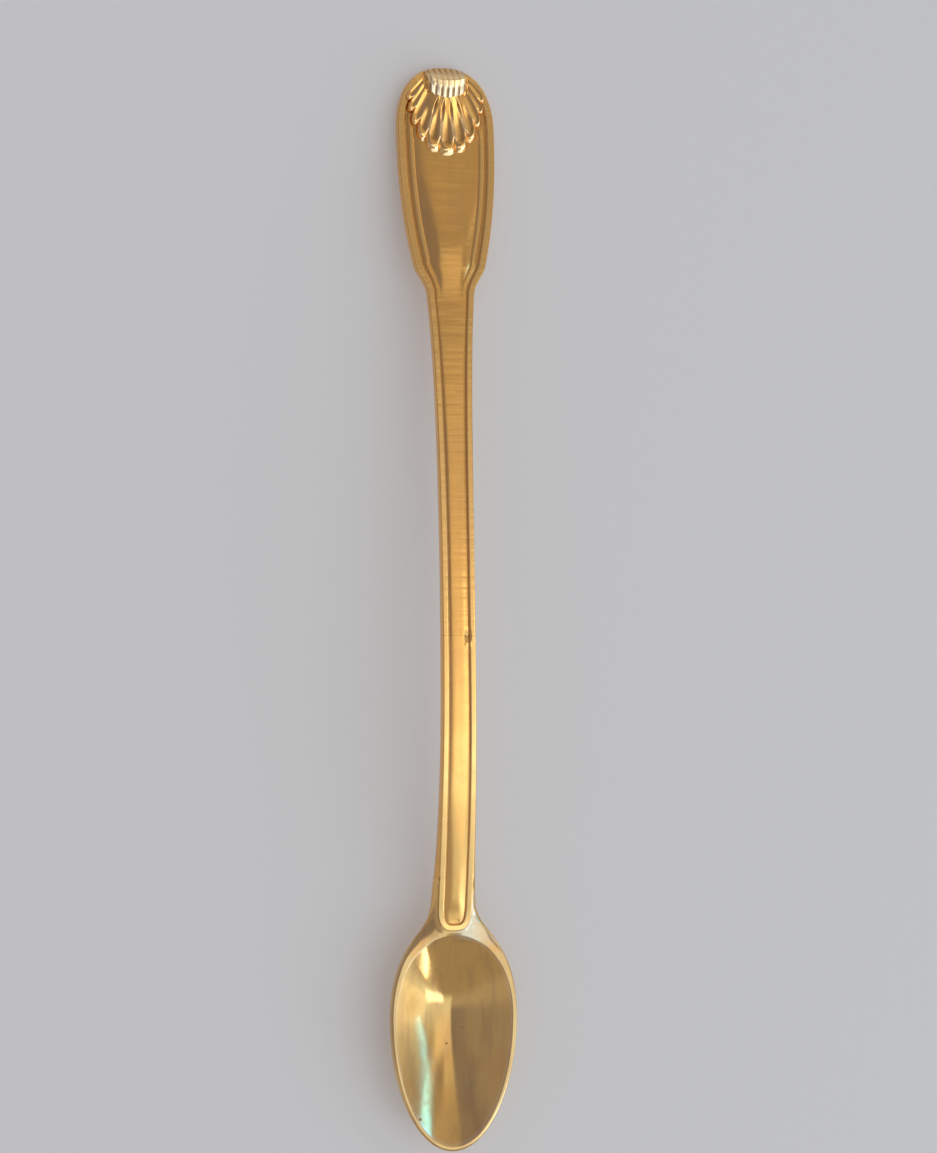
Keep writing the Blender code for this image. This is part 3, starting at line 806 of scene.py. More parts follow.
# %% Drop
DROP_START, DROP_END, DROP_WIDTH, DROP_DEPTH = -6.2 * MM, 3.6 * MM, 5.4 * MM, 0.9 * MM
DROP_POINTS, DROP_SEAT = 33, 0.05 * MM
across_drop = np.cos(np.linspace(0.0, math.pi, DROP_POINTS)[::-1])
drop_rows = []


def round_start(share, run):
    """A quarter-round rise from 0 at the start to 1 at the end of a run."""
    return math.sqrt(max(1.0 - (1.0 - min(share / run, 1.0)) ** 2, 0.0))


for share in (1.0 - np.cos(np.linspace(0.0, math.pi, 44))) / 2:
    y = between(Y_HEEL + DROP_START, Y_HEEL + DROP_END, share)
    half_width = DROP_WIDTH / 2 * round_start(share, 0.5)
    half_width *= 1.0 + 0.08 * share
    swell = DROP_DEPTH * round_start(share, 0.4)
    swell *= 1.0 - 0.92 * float(ease(share, 0.45, 0.55))
    x, level = half_width * across_drop, np.full(DROP_POINTS, y)
    seat = bowl_back(x, level) + DROP_SEAT
    skin = seat - DROP_SEAT - swell * np.sqrt(np.clip(1.0 - across_drop ** 2, 0.0, 1.0))
    top = np.stack([x, level, seat], axis=1)
    drop_rows.append(np.concatenate([top, np.stack([x, level, skin], axis=1)[::-1]]))
drop = loft("gilt_heel_drop", np.array(drop_rows))
dress(drop, stem_gilding, "heel_drop")

# %% [markdown]
# ## Thread moulding
# A raised, half-round thread runs along both edges, with a groove inside it and, on the fiddle end, a second
# thread inside that. It follows every bend of the outline, which is work for Geometry Nodes: the blanks below
# store on each point how far in from the edge it lies, and one tree raises the threads and sinks the grooves
# from that measure. It also gives the metal the slight unevenness of hand finishing.

# %% Thread moulding tree
THREAD_WIDTH, THREAD_HEIGHT, THREAD_FOOT, THREAD_FLATNESS = 1.0 * MM, 0.2 * MM, 0.85, 6.0
GROOVE_WIDTH, INNER_WIDTH = 0.4 * MM, 0.9 * MM
thread_sizes = [
    ("Thread Width", THREAD_WIDTH), ("Thread Height", THREAD_HEIGHT), ("Thread Foot", THREAD_FOOT),
    ("Groove Width", GROOVE_WIDTH), ("Groove Depth", 0.08 * MM), ("Inner Width", INNER_WIDTH),
    ("Inner Height", 0.17 * MM), ("Unevenness", 0.03 * MM), ("Unevenness Scale", 140.0),
]


def named(tree, label):
    return output(tree, "GeometryNodeInputNamedAttribute", "Attribute", {"data_type": "FLOAT"}, Name=label)


def keep_measure(tree, geometry, label, value):
    settings = {"data_type": "FLOAT", "domain": "POINT"}
    values = {"Geometry": geometry, "Name": label, "Value": value}
    return output(tree, "GeometryNodeStoreNamedAttribute", "Geometry", settings, **values)


def moved(tree, geometry, label, vector):
    return output(tree, "GeometryNodeSetPosition", "Geometry", Geometry=geometry, **{label: vector})


def combined(tree, x, y, z):
    return output(tree, "ShaderNodeCombineXYZ", "Vector", X=x, Y=y, Z=z)


def joined(tree, *parts):
    node = tree.nodes.new("GeometryNodeJoinGeometry")
    for part in parts:
        plug(tree, part, node.inputs["Geometry"])
    return Field(tree, node.outputs["Geometry"])


def uneven(tree, geometry, amount, scale):
    """Push points in and out along their normals by a broad, fixed noise."""
    place = output(tree, "GeometryNodeInputPosition", "Position")
    push = (noise(tree, place, scale, 1.0) - 0.5) * amount
    normal = output(tree, "GeometryNodeInputNormal", "Normal")
    along = output(tree, "ShaderNodeVectorMath", "Vector", {"operation": "SCALE"}, Vector=normal, Scale=push)
    return moved(tree, geometry, "Offset", along)


def start_shape_tree(name, sizes):
    """An empty tree with a geometry, named sizes and a gilding as its inputs."""
    inputs = [("Geometry", "NodeSocketGeometry", None)]
    inputs += [(label, "NodeSocketFloat", value) for label, value in sizes]
    inputs += [("Gilding", "NodeSocketMaterial", None)]
    return start_tree(name, "GeometryNodeTree", inputs, [("Geometry", "NodeSocketGeometry")])


def end_tree(tree, leave, geometry, material):
    real = output(tree, "GeometryNodeRealizeInstances", "Geometry", Geometry=geometry)
    painted = output(tree, "GeometryNodeSetMaterial", "Geometry", Geometry=real, Material=material)
    plug(tree, painted, leave.inputs["Geometry"])


def make_moulding():
    tree, given, leave = start_shape_tree("thread moulding", thread_sizes)
    inset, rise, inner = named(tree, "inset"), named(tree, "rise"), named(tree, "inner")
    width, groove = given["Thread Width"], given["Groove Width"]
    outer = width / 2 / (1.0 - given["Thread Foot"] * given["Thread Foot"]) ** (1.0 / THREAD_FLATNESS)
    inner_side = formula(tree, "GREATER_THAN", inset, width / 2)
    thread = inset.hump(width / 2, outer + (width / 2 - outer) * inner_side, THREAD_FLATNESS)
    sunk = inset.hump(width + groove / 2, groove / 2)
    second = inset.hump(width + groove + given["Inner Width"] / 2, given["Inner Width"] / 2) * inner
    lift = thread * given["Thread Height"] + second * given["Inner Height"] - sunk * given["Groove Depth"]
    shape = moved(tree, given["Geometry"], "Offset", combined(tree, 0.0, 0.0, lift * rise))
    shape = uneven(tree, shape, given["Unevenness"], given["Unevenness Scale"])
    shape = keep_measure(tree, shape, "recess_and_shade", named(tree, "recess_and_shade").above(sunk * rise))
    paled = thread.above(second).ramp(0.75, 1.0) * rise
    shape = keep_measure(tree, shape, "crest_and_sheen", named(tree, "crest_and_sheen").above(paled))
    end_tree(tree, leave, shape, given["Gilding"])
    return tree


MOULDING = make_moulding()


def use_tree(piece, tree, values):
    """Run a Geometry Nodes tree on a piece and keep the result as a plain mesh."""
    modifier = piece.modifiers.new(tree.name, "NODES")
    modifier.node_group = tree
    sockets = {item.name: item.identifier for item in tree.interface.items_tree if item.in_out == "INPUT"}
    for label, value in values.items():
        modifier[sockets[label]] = value
    apply_modifiers(piece)


print("tree:", MOULDING.name, len(MOULDING.nodes), "nodes")

# %% [markdown]
# The bowl has no thread, but it was planished by hand too, so the same tree gives it its gentle unevenness.

# %% Planish the bowl
use_tree(bowl, MOULDING, {"Gilding": bowl_gilding, "Unevenness": 0.05 * MM, "Unevenness Scale": 120.0})
clean(bowl)
dress(bowl, bowl_gilding, "bowl")

# %% [markdown]
# ## Blanks for the stem and the handle
# A blank is a bar of rings whose points are spaced finely where the thread will rise. Each half ring starts
# in the middle of the back, rounds the side, crosses the flank, the thread and the groove, and ends in the
# middle of the crowned panel.

# %% Blank rings
THREAD_STEPS = (1.0 - np.cos(np.linspace(0.0, math.pi, 19)[1:])) / 2
GROOVE_STEPS = np.linspace(0.0, 1.0, 10)[1:]
INNER_STEPS = (1.0 - np.cos(np.linspace(0.0, math.pi, 15)[1:])) / 2
PANEL_STEPS, SIDE_STEPS, BACK_STEPS, BACK_ROUND = 16, 8, 12, 1.5 * MM


def moulding_columns(widths):
    """Distances in from the thread's foot across thread, groove and inner thread, for widths per ring."""
    thread, groove, inner = (column[:, None] for column in widths.T)
    return np.concatenate([
        thread * THREAD_STEPS, thread + groove * GROOVE_STEPS, thread + groove + inner * INNER_STEPS
    ], axis=1)


TREE_WIDTHS = np.array([[THREAD_WIDTH, GROOVE_WIDTH, INNER_WIDTH]])
PANEL_EDGE = BACK_STEPS + SIDE_STEPS - 1 + len(THREAD_STEPS) + len(GROOVE_STEPS) - 1


def crown_share(y):
    """How far the stem's low crown has become the fiddle end's full one."""
    return ease(y, Y_SHOULDER - 1.0 * MM, 13.0 * MM)


def crown_height(y):
    """The fiddle end's crown, fullest above the shoulders and flatter under the shell."""
    return between(SHOULDER_CROWN, FIDDLE_CROWN, ease(y, Y_CORNER, Y_END - 16.0 * MM - Y_CORNER))


def blank(stations, flank, widths, rise, inner, floor=None, ceiling=None):
    """Half rings of a bar, and the measures of their points. All but the last two are given for each ring."""
    edge_x, edge_y, in_x, in_y = (column[:, None] for column in stations.T)
    side = np.linspace(0.0, math.pi / 2, BACK_STEPS)
    up = np.linspace(0.0, math.pi / 2 * 0.95, SIDE_STEPS)[1:]
    inset = np.concatenate([
        BACK_ROUND * (1.0 - np.sin(side))[None, :] + 0 * edge_x,
        flank[:, None] * ((1.0 - np.cos(up)) / (1.0 - np.cos(up[-1])))[None, :],
        flank[:, None] + moulding_columns(widths),
    ], axis=1)
    x, y = np.maximum(edge_x + in_x * inset, 0.0), np.maximum.accumulate(edge_y + in_y * inset, axis=0)
    flank_end = BACK_STEPS + SIDE_STEPS - 1
    face, middle = face_height(y), middle_height(y)
    foot = face + THREAD_HEIGHT * THREAD_FOOT * rise[:, None]
    z = face.copy()
    backs, flanks = slice(0, BACK_STEPS), slice(BACK_STEPS, flank_end)
    z[:, backs] = between(back_height(y[:, backs]), middle[:, backs], (1.0 - np.cos(side))[None, :])
    z[:, flanks] = between(middle[:, flanks], foot[:, flanks], (np.sin(up) / np.sin(up[-1]))[None, :])
    z[:, flank_end - 1] = face[:, flank_end - 1]
    panel = np.linspace(1.0, 0.0, PANEL_STEPS + 1)[None, 1:]
    panel_y = np.repeat(y[:, -1:], PANEL_STEPS, axis=1)
    x = np.concatenate([0 * edge_x, x, x[:, -1:] * panel], axis=1)
    y = np.concatenate([y[:, :1], y, panel_y], axis=1)
    z = np.concatenate([z[:, :1], z, face_height(panel_y)], axis=1)
    stem_edge, fiddle_edge = x[:, [PANEL_EDGE + 1]], x[:, [-PANEL_STEPS - 1]]
    stem_share = np.clip(x / np.maximum(stem_edge, 1e-7), 0.0, 1.0)
    fiddle_share = np.clip(x / np.maximum(fiddle_edge, 1e-7), 0.0, 1.0)
    on_panel = np.arange(x.shape[1])[None, :] > PANEL_EDGE
    full = np.clip(stem_edge / STEM_PANEL, 0.0, 1.0)
    stem_crown = STEM_CROWN * full * (1.0 - stem_share ** 4)
    by_neck = NECK_CROWN * (1.0 - ease(y, Y_NECK - 2.0 * MM, 20.0 * MM))
    by_neck = by_neck * ease(y, TONGUE_TIP + 1.4 * MM, 5.0 * MM)
    stem_crown = stem_crown + by_neck * (1.0 - stem_share ** 2)
    z = z + on_panel * between(stem_crown, crown_height(y) * (1.0 - fiddle_share ** 3), crown_share(y))
    if floor is not None:
        z = np.maximum(z, floor(y))
    if ceiling is not None:
        z = np.minimum(z, ceiling(y))
    columns = moulding_columns(TREE_WIDTHS)
    counted = np.concatenate([np.full(flank_end, 0.0), columns[0], np.full(PANEL_STEPS, 9.0 * MM)])
    measure = np.concatenate([[0.0], counted])[None, :] + 0 * edge_x
    front = (np.arange(measure.shape[1]) >= flank_end)[None, :] * rise[:, None]
    half = np.stack([x, y, z], axis=-1)
    return half, {"inset": measure, "rise": front, "inner": inner[:, None] + 0 * measure}


def join_blanks(*parts):
    rings = np.concatenate([part[0] for part in parts])
    measures = {label: np.concatenate([part[1][label] for part in parts]) for label in parts[0][1]}
    return mirrored(rings), {label: mirrored_measure(values) for label, values in measures.items()}


print("points across half a blank:", PANEL_EDGE + len(INNER_STEPS) + PANEL_STEPS + 2)

# %% [markdown]
# ## The lower stem
# Its round tongue is let into the neck, with the thread turning round the tongue's tip. Beyond the neck it is
# a full bar, and it ends in a lap under the handle, where the old repair shows as a nick in the right thread.

# %% Lower stem
LAP_LENGTH, LAP_GAP = 10.0 * MM, 0.015 * MM
STEM_WIDTHS = (1.1 * MM, 0.24 * MM, 0.8 * MM)
STEM_CROWN, STEM_PANEL = 0.08 * MM, 1.4 * MM
SHOULDER_CROWN, FIDDLE_CROWN, NECK_CROWN = 0.68 * MM, 0.27 * MM, 0.22 * MM
THREAD_FLANK = 0.15 * MM


def tongue_floor(y):
    return face_height(y) - TONGUE_DEPTH


def lap_ceiling(y):
    return middle_height(y) - LAP_GAP


def lap_floor(y):
    return middle_height(y) + LAP_GAP


def flat(stations, value):
    return np.full(len(stations), value)


def bar_stations(half_width, y):
    return outline_stations(half_width(y), y)


def stem_flank(stations):
    """The side outside the thread: wide at the neck, where the stem flares, and a hair elsewhere."""
    return smooth_max(stations[:, 0] - TONGUE_HALF_WIDTH, flat(stations, THREAD_FLANK), 0.2 * MM)


def plain_blank(stations, flank, floor=None, ceiling=None):
    one, none = flat(stations, 1.0), flat(stations, 0.0)
    return blank(stations, flank, np.outer(one, STEM_WIDTHS), one, none, floor, ceiling)


tongue = tongue_edge()[1]
seam_y = Y_SEAM - SEAM_GAP
bar = bar_stations(stem_half_width, np.linspace(Y_NECK + SEAM_GAP, seam_y, 90))
lap = bar_stations(stem_half_width, np.linspace(seam_y, seam_y + LAP_LENGTH, 12))
stem_rings, stem_measures = join_blanks(
    plain_blank(tongue, flat(tongue, 0.002 * MM), floor=tongue_floor),
    plain_blank(bar, stem_flank(bar)),
    plain_blank(lap, stem_flank(lap), ceiling=lap_ceiling),
)
stem = loft("gilt_lower_stem", stem_rings, stem_measures, caps=(False, True))
use_tree(stem, MOULDING, {"Gilding": stem_gilding, "Inner Height": 0.0, "Groove Depth": 0.05 * MM})


# %% Nick at the old repair
NICK_PLACE, NICK_WIDTH, NICK_RUN, NICK_DEPTH = 1.6 * MM, 0.5 * MM, 0.42 * MM, 0.32 * MM
NICK_BELOW, BURR_BELOW, BURR_SHARE = 0.3 * MM, 1.4 * MM, 0.35


def nick(piece):
    """Dent the right thread at the seam, with a small burr of metal pushed up just below it."""
    places = points_of(piece)
    across_thread = np.exp(-(((places[:, 0] - NICK_PLACE) / NICK_WIDTH) ** 4))
    along = places[:, 1] - Y_SEAM
    dent = np.exp(-(((along + NICK_BELOW) / NICK_RUN) ** 4))
    burr = BURR_SHARE * np.exp(-(((along + BURR_BELOW) / NICK_RUN) ** 2))
    above = ease(places[:, 2], middle_height(places[:, 1]), 1.0 * MM)
    places[:, 2] -= NICK_DEPTH * across_thread * (dent - burr) * above
    piece.data.vertices.foreach_set("co", places.ravel())
    piece.data.update()


nick(stem)
clean(stem)
dress(stem, stem_gilding, "lower_stem")

# %% [markdown]
# ## The handle
# The upper stem swells over two shoulders into the fiddle end. Its side runs through one outline, so the
# threads flow round the shoulders and the end in one sweep. They grow a little on the fiddle end, where the
# second thread appears, and die away under the shell's hinge.

# %% Handle
HINGE_WIDTH = 7.6 * MM
Y_LIPS, LIPS_RUN = Y_END - 13.0 * MM, 3.0 * MM
FIDDLE_WIDTHS = (1.35 * MM, 0.55 * MM, 1.1 * MM)
lap_end = Y_SEAM + LAP_LENGTH
side_y = np.concatenate([
    np.linspace(lap_end, Y_SHOULDER - 4 * MM, 90),
    np.linspace(Y_SHOULDER - 4 * MM, Y_CORNER + 3 * MM, 60)[1:],
    np.linspace(Y_CORNER + 3 * MM, Y_ROUND, 60)[1:],
])
end_x, end_y = round_end(FIDDLE_WIDTH / 2, Y_ROUND, Y_END - Y_ROUND, END_FULLNESS, 90)
end_x[-1] = 0.0
whole = outline_stations(
    np.concatenate([handle_half_width(side_y), end_x[1:]]), np.concatenate([side_y, end_y[1:]])
)
whole[-1, 2:] = (0.0, -1.0)
fiddle_share = ease(whole[:, 1], Y_SHOULDER - 1 * MM, Y_CORNER - Y_SHOULDER + 3 * MM)
beside_hinge = np.where(whole[:, 1] > Y_ROUND, whole[:, 0] - HINGE_WIDTH / 2, 1.0)
lap = bar_stations(stem_half_width, np.linspace(Y_SEAM, lap_end, 14))
handle_rings, handle_measures = join_blanks(
    plain_blank(lap, flat(lap, THREAD_FLANK), floor=lap_floor),
    blank(
        whole, flat(whole, THREAD_FLANK),
        between(np.array([STEM_WIDTHS]), np.array([FIDDLE_WIDTHS]), fiddle_share[:, None]),
        ease(beside_hinge, 0.0, 2.2 * MM),
        fiddle_share * (1.0 - ease(whole[:, 1], Y_LIPS, LIPS_RUN)),
    ),
)
handle = loft("gilt_handle", handle_rings, handle_measures, caps=(True, False))
use_tree(handle, MOULDING, {"Gilding": fiddle_gilding})
nick(handle)
places = points_of(handle)
edge_line = finely(whole[:, 0], whole[:, 1], 900)
from_edge = distance_to(edge_line, places[:, 0], places[:, 1])
# Painted shade: the handle's face turns brown round the shell, between the shell and the outer thread.
beside_shell = ease(places[:, 1], Y_LIPS, LIPS_RUN) * (places[:, 2] > middle_height(places[:, 1]))
shade_by_shell = ease(from_edge, 1.2 * MM, 0.4 * MM) * beside_shell
store_measure(handle, "recess_and_shade", np.maximum(measure_of(handle, "recess_and_shade"), 0.8 * shade_by_shell))
clean(handle)
dress(handle, fiddle_gilding, "handle")

# %% [markdown]
# ## The scallop shell
# The shell is the piece that asks for most skill: eleven flutes fan out from a rolled hinge, each with a thin
# ridge at its sides and a rounded lip at its end. It all follows one rule, so a Geometry Nodes tree bends a
# plain grid into the fan: across the grid run the lobes, along it the way from the hinge to the lips. A
# second grid rolls the ribbed hinge over the end of the handle, and each grid has a twin for the underside.

# %% Shell tree
shell_sizes = [
    ("Lobes", 11.0), ("Hinge Lobes", 7.0), ("Fan Angle", math.radians(78)), ("Half Width", 7.6 * MM),
    ("Reach", 13.2 * MM), ("Scallop", 1.05 * MM), ("Hinge Half Width", HINGE_WIDTH / 2),
    ("Hinge Side", 2.6 * MM), ("Hinge Swell", 2.0 * MM), ("Hinge Drop", 0.6 * MM), ("Rise", 2.0 * MM),
    ("Lip Height", 0.9 * MM), ("Flute Depth", 0.27 * MM), ("Hinge Start", 1.75 * MM),
    ("Hinge Rise", 2.85 * MM), ("Crest Rise", 0.25 * MM), ("Rib Depth", 0.18 * MM), ("Knob Height", 0.1 * MM),
]
LIP_SHARE, LIP_ROUND, CREST_SHARE, FAN_FULLNESS = 0.885, 1.35, 0.55, 2.2
SEAM_DEPTH, PLEAT_DEPTH = 0.2 * MM, 0.2 * MM
PANEL_HALF_WIDTH, SEAT_DEPTH, MERGE_DISTANCE = 5.9 * MM, 0.02 * MM, 0.002 * MM


def grid_sheet(tree, columns, rows):
    """A flat grid, with its places across from -1 to 1 and along from 0 to 1."""
    values = {"Size_X": 2.0, "Size_Y": 1.0, "Vertices_X": columns, "Vertices_Y": rows}
    sheet = output(tree, "GeometryNodeMeshGrid", "Mesh", **values)
    place = output(tree, "GeometryNodeInputPosition", "Position")
    split = place_node(tree, "ShaderNodeSeparateXYZ", Vector=place)
    return sheet, Field(tree, split.outputs["X"]), Field(tree, split.outputs["Y"]) + 0.5


def skin_and_seat(tree, sheet, x, y, height, recess_and_shade, crest_and_sheen):
    """The sheet lifted to its height over the handle's face, with a seat under it, closed round the edge."""
    crowned = (x.plain("ABSOLUTE") / PANEL_HALF_WIDTH).below(1.0) ** 3.0
    by_end = y.ramp(Y_HINGE - 0.5 * MM, Y_END - 0.5 * MM)
    seat_z = fall_height(y) + FIDDLE_CROWN * (1.0 - crowned) * (1.0 - by_end) - SEAT_DEPTH
    measured = keep_measure(tree, keep_measure(tree, sheet, "recess_and_shade", recess_and_shade), "crest_and_sheen", crest_and_sheen)
    level = FIDDLE_CROWN * crowned * (height / (0.5 * MM)).below(1.0)
    skin = moved(tree, measured, "Position", combined(tree, x, y, seat_z + height + level))
    seat = moved(tree, sheet, "Position", combined(tree, x, y, seat_z))
    both = joined(tree, skin, output(tree, "GeometryNodeFlipFaces", "Mesh", Mesh=seat))
    return output(tree, "GeometryNodeMergeByDistance", "Geometry", Geometry=both, Distance=MERGE_DISTANCE)


def make_fan(tree, given):
    sheet, fan, share = grid_sheet(tree, 11 * 22 + 1, 90)
    lobe = fan * given["Lobes"] / 2
    counted = lobe + given["Lobes"] / 2
    across = (counted - counted.plain("FLOOR")) * 2.0 - 1.0
    flute = 0.5 + 0.5 * (across * math.pi).plain("COSINE")
    from_middle = lobe.plain("ABSOLUTE")
    on_hinge = (from_middle / (given["Hinge Lobes"] / 2)).below(1.0)
    beyond = (from_middle - given["Hinge Lobes"] / 2).above(0.0)
    beyond = beyond / ((given["Lobes"] - given["Hinge Lobes"]) / 2)
    start_x = fan.plain("SIGN") * on_hinge * given["Hinge Half Width"] * 0.96
    start_y = Y_HINGE - given["Hinge Drop"] + 0.3 * MM + given["Hinge Side"] * beyond
    start_y = start_y - given["Hinge Swell"] * (1.0 - on_hinge * on_hinge)
    angle = fan * given["Fan Angle"]
    sine, cosine = angle.plain("SINE"), angle.plain("COSINE")
    wide = (sine.plain("ABSOLUTE") / given["Half Width"]) ** FAN_FULLNESS
    deep = (cosine / given["Reach"]) ** FAN_FULLNESS
    reach = (wide + deep) ** (-1.0 / FAN_FULLNESS)
    reach = reach - given["Scallop"] * (1.0 - (1.0 - across * across).above(0.0).plain("SQRT"))
    x = start_x + (sine * reach - start_x) * share
    y = start_y + (Y_HINGE - cosine * reach - start_y) * share
    along = share / LIP_SHARE
    aside = fan.plain("ABSOLUTE").ramp(0.28, 0.55)
    rise = (given["Rise"] - given["Lip Height"]) * (1.0 - 0.85 * aside)
    dome = given["Lip Height"] + rise * (1.0 - along.below(1.0)) ** 2.6
    before_lip = 1.0 - share.ramp(LIP_SHARE - 0.12, LIP_SHARE - 0.01)
    gate = share.ramp(0.14, 0.55) * before_lip * (1.0 - 0.75 * aside)
    seam = (1.0 - flute) ** 8.0 * share.ramp(0.02, 0.15) * (1.0 - share.ramp(0.25, 0.5)) * (1.0 - aside)
    outward = across * fan.plain("SIGN")
    pleat = ((outward + 1.0) / 0.65).below((1.0 - outward) / 1.35) * aside * share.ramp(0.03, 0.15)
    pleat = pleat * before_lip
    carved = flute ** (1.5 - 0.6 * share) * gate * (0.4 + 0.6 * share)
    ridge = (1.0 - flute) ** 3.0
    knob = given["Knob Height"] * ridge * share.hump(0.1, 0.09)
    tip = 1.0 - ((share - LIP_SHARE) / (1.0 - LIP_SHARE)).above(0.0) ** LIP_ROUND
    finger = 1.0 - 0.45 * across * across * share.ramp(LIP_SHARE - 0.16, LIP_SHARE + 0.04)
    side = from_middle.round_off(given["Lobes"] / 2 - 0.25, 0.25)
    height = dome + knob - given["Flute Depth"] * carved - SEAM_DEPTH * seam - PLEAT_DEPTH * pleat
    height = height * finger * tip * side * (share * 60.0).below(1.0)
    # Painted shade: the flutes' hollows, the creases between lobes by the hinge and the foot of each lip
    # against the handle turn brown.
    rim_shade = share.ramp(0.985, 1.0)
    # The lips turn pale: wear on their rounded ends and painted sheen where they face the light.
    lip_wear_and_sheen = share.ramp(LIP_SHARE - 0.02, LIP_SHARE + 0.02) * (1.0 - rim_shade) * 0.4
    fan_shade = (carved * share.ramp(0.35, 0.85)).above(rim_shade).above(seam * 0.8)
    return skin_and_seat(tree, sheet, x, y, height, fan_shade, (ridge * gate).above(lip_wear_and_sheen))


def make_hinge(tree, given):
    sheet, across, share = grid_sheet(tree, 7 * 22 + 1, 60)
    x = across * given["Hinge Half Width"]
    gone = (x.plain("ABSOLUTE") / (FIDDLE_WIDTH / 2)) ** END_FULLNESS
    end = Y_ROUND + (Y_END - Y_ROUND) * (1.0 - gone) ** (1.0 / END_FULLNESS) - 0.12 * MM
    start = Y_HINGE - given["Hinge Drop"] - 0.4 * MM - given["Hinge Swell"] * (1.0 - across * across)
    y = start + (end - start) * share
    rib = 0.5 + 0.5 * (across * given["Hinge Lobes"] * math.pi).plain("COSINE")
    carved = rib ** 3.5 * (1.0 - 0.9 * share.ramp(0.28, 0.42) + 0.9 * share.ramp(0.68, 0.85))
    climb = 1.0 - (1.0 - share / CREST_SHARE).above(0.0) ** 1.35
    roll = given["Hinge Start"] + (given["Hinge Rise"] - given["Hinge Start"]) * climb
    roll = roll + given["Crest Rise"] * share.ramp(CREST_SHARE - 0.1, 0.78)
    back_fall = 1.0 - 0.62 * share.ramp(0.55, 1.02)
    end_fall = share.round_off(0.74, 0.26) * (share * 50.0).below(1.0)
    side = across.plain("ABSOLUTE").round_off(0.82, 0.18)
    height = (roll * back_fall - given["Rib Depth"] * carved) * end_fall * side
    # Darker in the rib grooves, and painted shade on the back of the roll, which faces away from the light.
    back = share.ramp(0.62, 0.8)
    # Paler on the rib tops from wear, and painted sheen over the front slope of the roll, where it faces the
    # light.
    front = (1.0 - 0.6 * rib ** 3.0) * (1.0 - share.ramp(CREST_SHARE + 0.1, CREST_SHARE + 0.3)) * 1.6
    paled = ((1.0 - rib) * (0.7 - 0.3 * back)).above(front)
    return skin_and_seat(tree, sheet, x, y, height, (carved * 0.8).above(0.12 * back), paled)


def make_shell_tree():
    tree, given, leave = start_shape_tree("scallop shell", shell_sizes)
    end_tree(tree, leave, joined(tree, make_fan(tree, given), make_hinge(tree, given)), given["Gilding"])
    return tree


SHELL = make_shell_tree()
shell = add_object("gilt_shell", bpy.data.meshes.new("gilt_shell"))
use_tree(shell, SHELL, {"Gilding": shell_gilding})
clean(shell, sharp=75.0)
dress(shell, shell_gilding, "shell")

# %% [markdown]
# ## Floor and light
# Polished metal shows the room more than itself, so the light is drawn as shapes with a known brightness: a
# warm panel overhead, dark walls on the left, and cool panes on the near right for the glints in the bowl and
# on the neck. Three soft panels light the shell alone, and the one overhead leaves out the bowl, because its
# hollow would mirror them as false glints. The floor is plain and pale.

# %% Floor
FLOOR_COLOUR = (0.71, 0.695, 0.67, 1.0)
FLOOR_GLOW, FLOOR_RADIUS, FLOOR_LEVEL, FLOOR_SIDES = 0.22, 3.0, -0.05 * MM, 96
floor_mesh = bpy.data.meshes.new("floor")
turns = np.linspace(0.0, 2 * math.pi, FLOOR_SIDES + 1)[:-1]
ring = [(FLOOR_RADIUS * math.cos(a), FLOOR_RADIUS * math.sin(a), FLOOR_LEVEL) for a in turns]
floor_mesh.from_pydata(ring, [], [list(range(FLOOR_SIDES))])
floor = add_object("floor", floor_mesh)
floor_paint = bpy.data.materials.new("floor paint")
floor_paint.use_nodes = True
paint_tree = floor_paint.node_tree
paint = paint_tree.nodes["Principled BSDF"]
for label in ("Base Color", "Emission Color"):
    paint.inputs[label].default_value = FLOOR_COLOUR
paint.inputs["Roughness"].default_value = 0.9
paint.inputs["Specular IOR Level"].default_value = 0.1
rays = paint_tree.nodes.new("ShaderNodeLightPath")
seen, mirrored_too = (Field(paint_tree, rays.outputs[f"Is {kind} Ray"]) for kind in ("Camera", "Glossy"))
plug(paint_tree, seen.above(mirrored_too) * FLOOR_GLOW, paint.inputs["Emission Strength"])
floor_mesh.materials.append(floor_paint)
print("floor", 2 * FLOOR_RADIUS, "m across")

# %% Light panels


def panel_light(name, centre, size, radiance, colour, lean=0.0, only=()):
    """A rectangular light of known brightness, facing the spoon. It may lean, or light some pieces only."""
    light = bpy.data.lights.new(name, "AREA")
    light.shape = "RECTANGLE"
    light.size, light.size_y = size
    light.color = colour
    light.energy = radiance * math.pi * size[0] * size[1]
    lamp = add_object(name, light)
    lamp.location = centre
    aim = (-Vector(centre)).to_track_quat("-Z", "Y").to_matrix()
    lamp.rotation_euler = (aim @ Matrix.Rotation(math.radians(lean), 3, "Z")).to_euler()
    if only:
        lamp.light_linking.receiver_collection = bpy.data.collections.new("lit by the " + name)
    for piece in only:
        lamp.light_linking.receiver_collection.objects.link(piece)


BLUE = (0.1, 0.6, 1.45)
panel_light(
    "overhead panel", (0.36, -0.17, 0.92), (0.44, 0.32), 1.05, (1.0, 0.96, 0.88), only=(shell, stem, handle)
)
panel_light("right near pane", (0.695, -0.75, 0.22), (0.15, 0.06), 4.0, (0.95, 1.0, 1.05))
panel_light("slanted pane", (0.63, -0.56, 0.54), (0.62, 0.17), 1.3, (1.0, 1.15, 1.5), lean=-58.0)
panel_light("blue pane", (0.85, -0.025, 0.49), (0.8, 0.05), 1.9, BLUE, lean=49.0)
panel_light("wide end of the blue pane", (0.79, 0.09, 0.59), (0.26, 0.09), 1.3, BLUE, lean=49.0)
panel_light("right window", (0.9, -0.4, 0.18), (0.3, 0.36), 0.3, (1.0, 0.98, 0.94))
panel_light("near window", (0.424, -0.832, 0.358), (2.4, 0.65), 0.9, (1.0, 1.35, 2.1), only=(shell,))
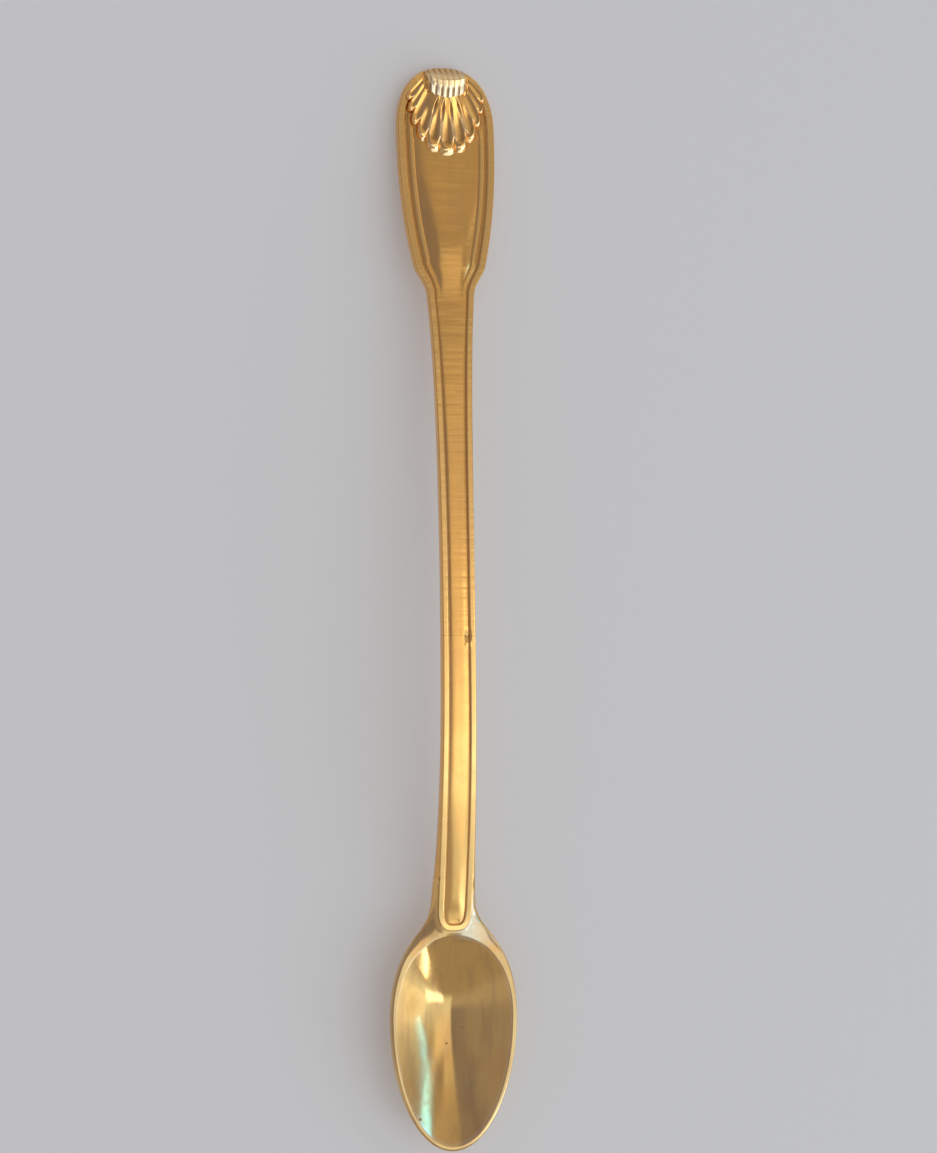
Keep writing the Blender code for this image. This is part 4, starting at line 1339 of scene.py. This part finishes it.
panel_light("panel for the shell", (0.55, 0.2, 0.83), (0.3, 0.6), 1.1, (1.0, 0.96, 0.86), only=(shell,))
panel_light("high near pane", (-0.038, -0.437, 0.899), (0.93, 0.39), 0.75, (1.0, 1.2, 1.6), only=(shell,))

# %% World
world = bpy.data.worlds.new("studio")
bpy.context.scene.world = world
world.use_nodes = True
sky = world.node_tree
background = sky.nodes["Background"]
direction = place_node(sky, "ShaderNodeSeparateXYZ", Vector=output(sky, "ShaderNodeTexCoord", "Generated"))
LEFT_WALL, FAR_LEFT, NEAR_LEFT = (0.28, 0.28, 0.36, 1.0), (0.34, 0.34, 0.39, 1.0), (0.46, 0.47, 0.5, 1.0)
OVERHEAD, MIDWAY, FAR_OVERHEAD = (0.89, 0.85, 0.78, 1.0), (0.7, 0.67, 0.61, 1.0), (0.42, 0.4, 0.37, 1.0)
FAR_WALL, FAR_RIGHT = (0.62, 0.59, 0.53, 1.0), (0.72, 0.7, 0.66, 1.0)
RIGHT_WALL, FAR_BEAM = (0.46, 0.45, 0.43, 1.0), (0.34, 0.32, 0.31, 1.0)
NEAR_WALL, LOW_WALL = (0.84, 0.98, 1.1, 1.0), (0.38, 0.37, 0.36, 1.0)
BACKDROP = (0.66, 0.655, 0.645, 1.0)
# The two numbers of each ramp are the directions between which one part of the room gives way to the next.
rightward, inward = (Field(sky, direction.outputs[axis]) for axis in "XY")
lit = rightward.ramp(0.0, 0.09)
left_side = mixed(sky, rightward.ramp(-0.65, -0.4), FAR_LEFT, LEFT_WALL)
left_side = mixed(sky, inward.ramp(-0.45, -0.2), NEAR_LEFT, left_side)
above = mixed(sky, inward.ramp(0.06, 0.2), OVERHEAD, MIDWAY)
above = mixed(sky, inward.ramp(0.235, 0.34), above, FAR_OVERHEAD)
above = mixed(sky, inward.ramp(0.4, 0.5), above, FAR_WALL)
beam = rightward.ramp(0.38, 0.5) * inward.ramp(0.12, 0.18) * (1.0 - inward.ramp(0.24, 0.3))
above = mixed(sky, beam, above, FAR_BEAM)
shade = mixed(sky, lit, left_side, mixed(sky, rightward.ramp(0.68, 0.85), above, RIGHT_WALL))
shade = mixed(sky, rightward.ramp(0.55, 0.7) * inward.ramp(0.22, 0.36), shade, FAR_RIGHT)
shade = mixed(sky, lit * (1.0 - inward.ramp(-0.3, 0.0)), shade, NEAR_WALL)
low = mixed(sky, rightward.ramp(0.4, 0.6), LOW_WALL, RIGHT_WALL)
shade = mixed(sky, 1.0 - inward.ramp(-0.66, -0.5), shade, low)
shown = mixed(sky, output(sky, "ShaderNodeLightPath", "Is Camera Ray"), shade, BACKDROP)
sky.links.new(shown.socket, background.inputs["Color"])
bpy.context.scene.view_settings.view_transform = "Standard"
print("world:", world.name, len(sky.nodes), "nodes")
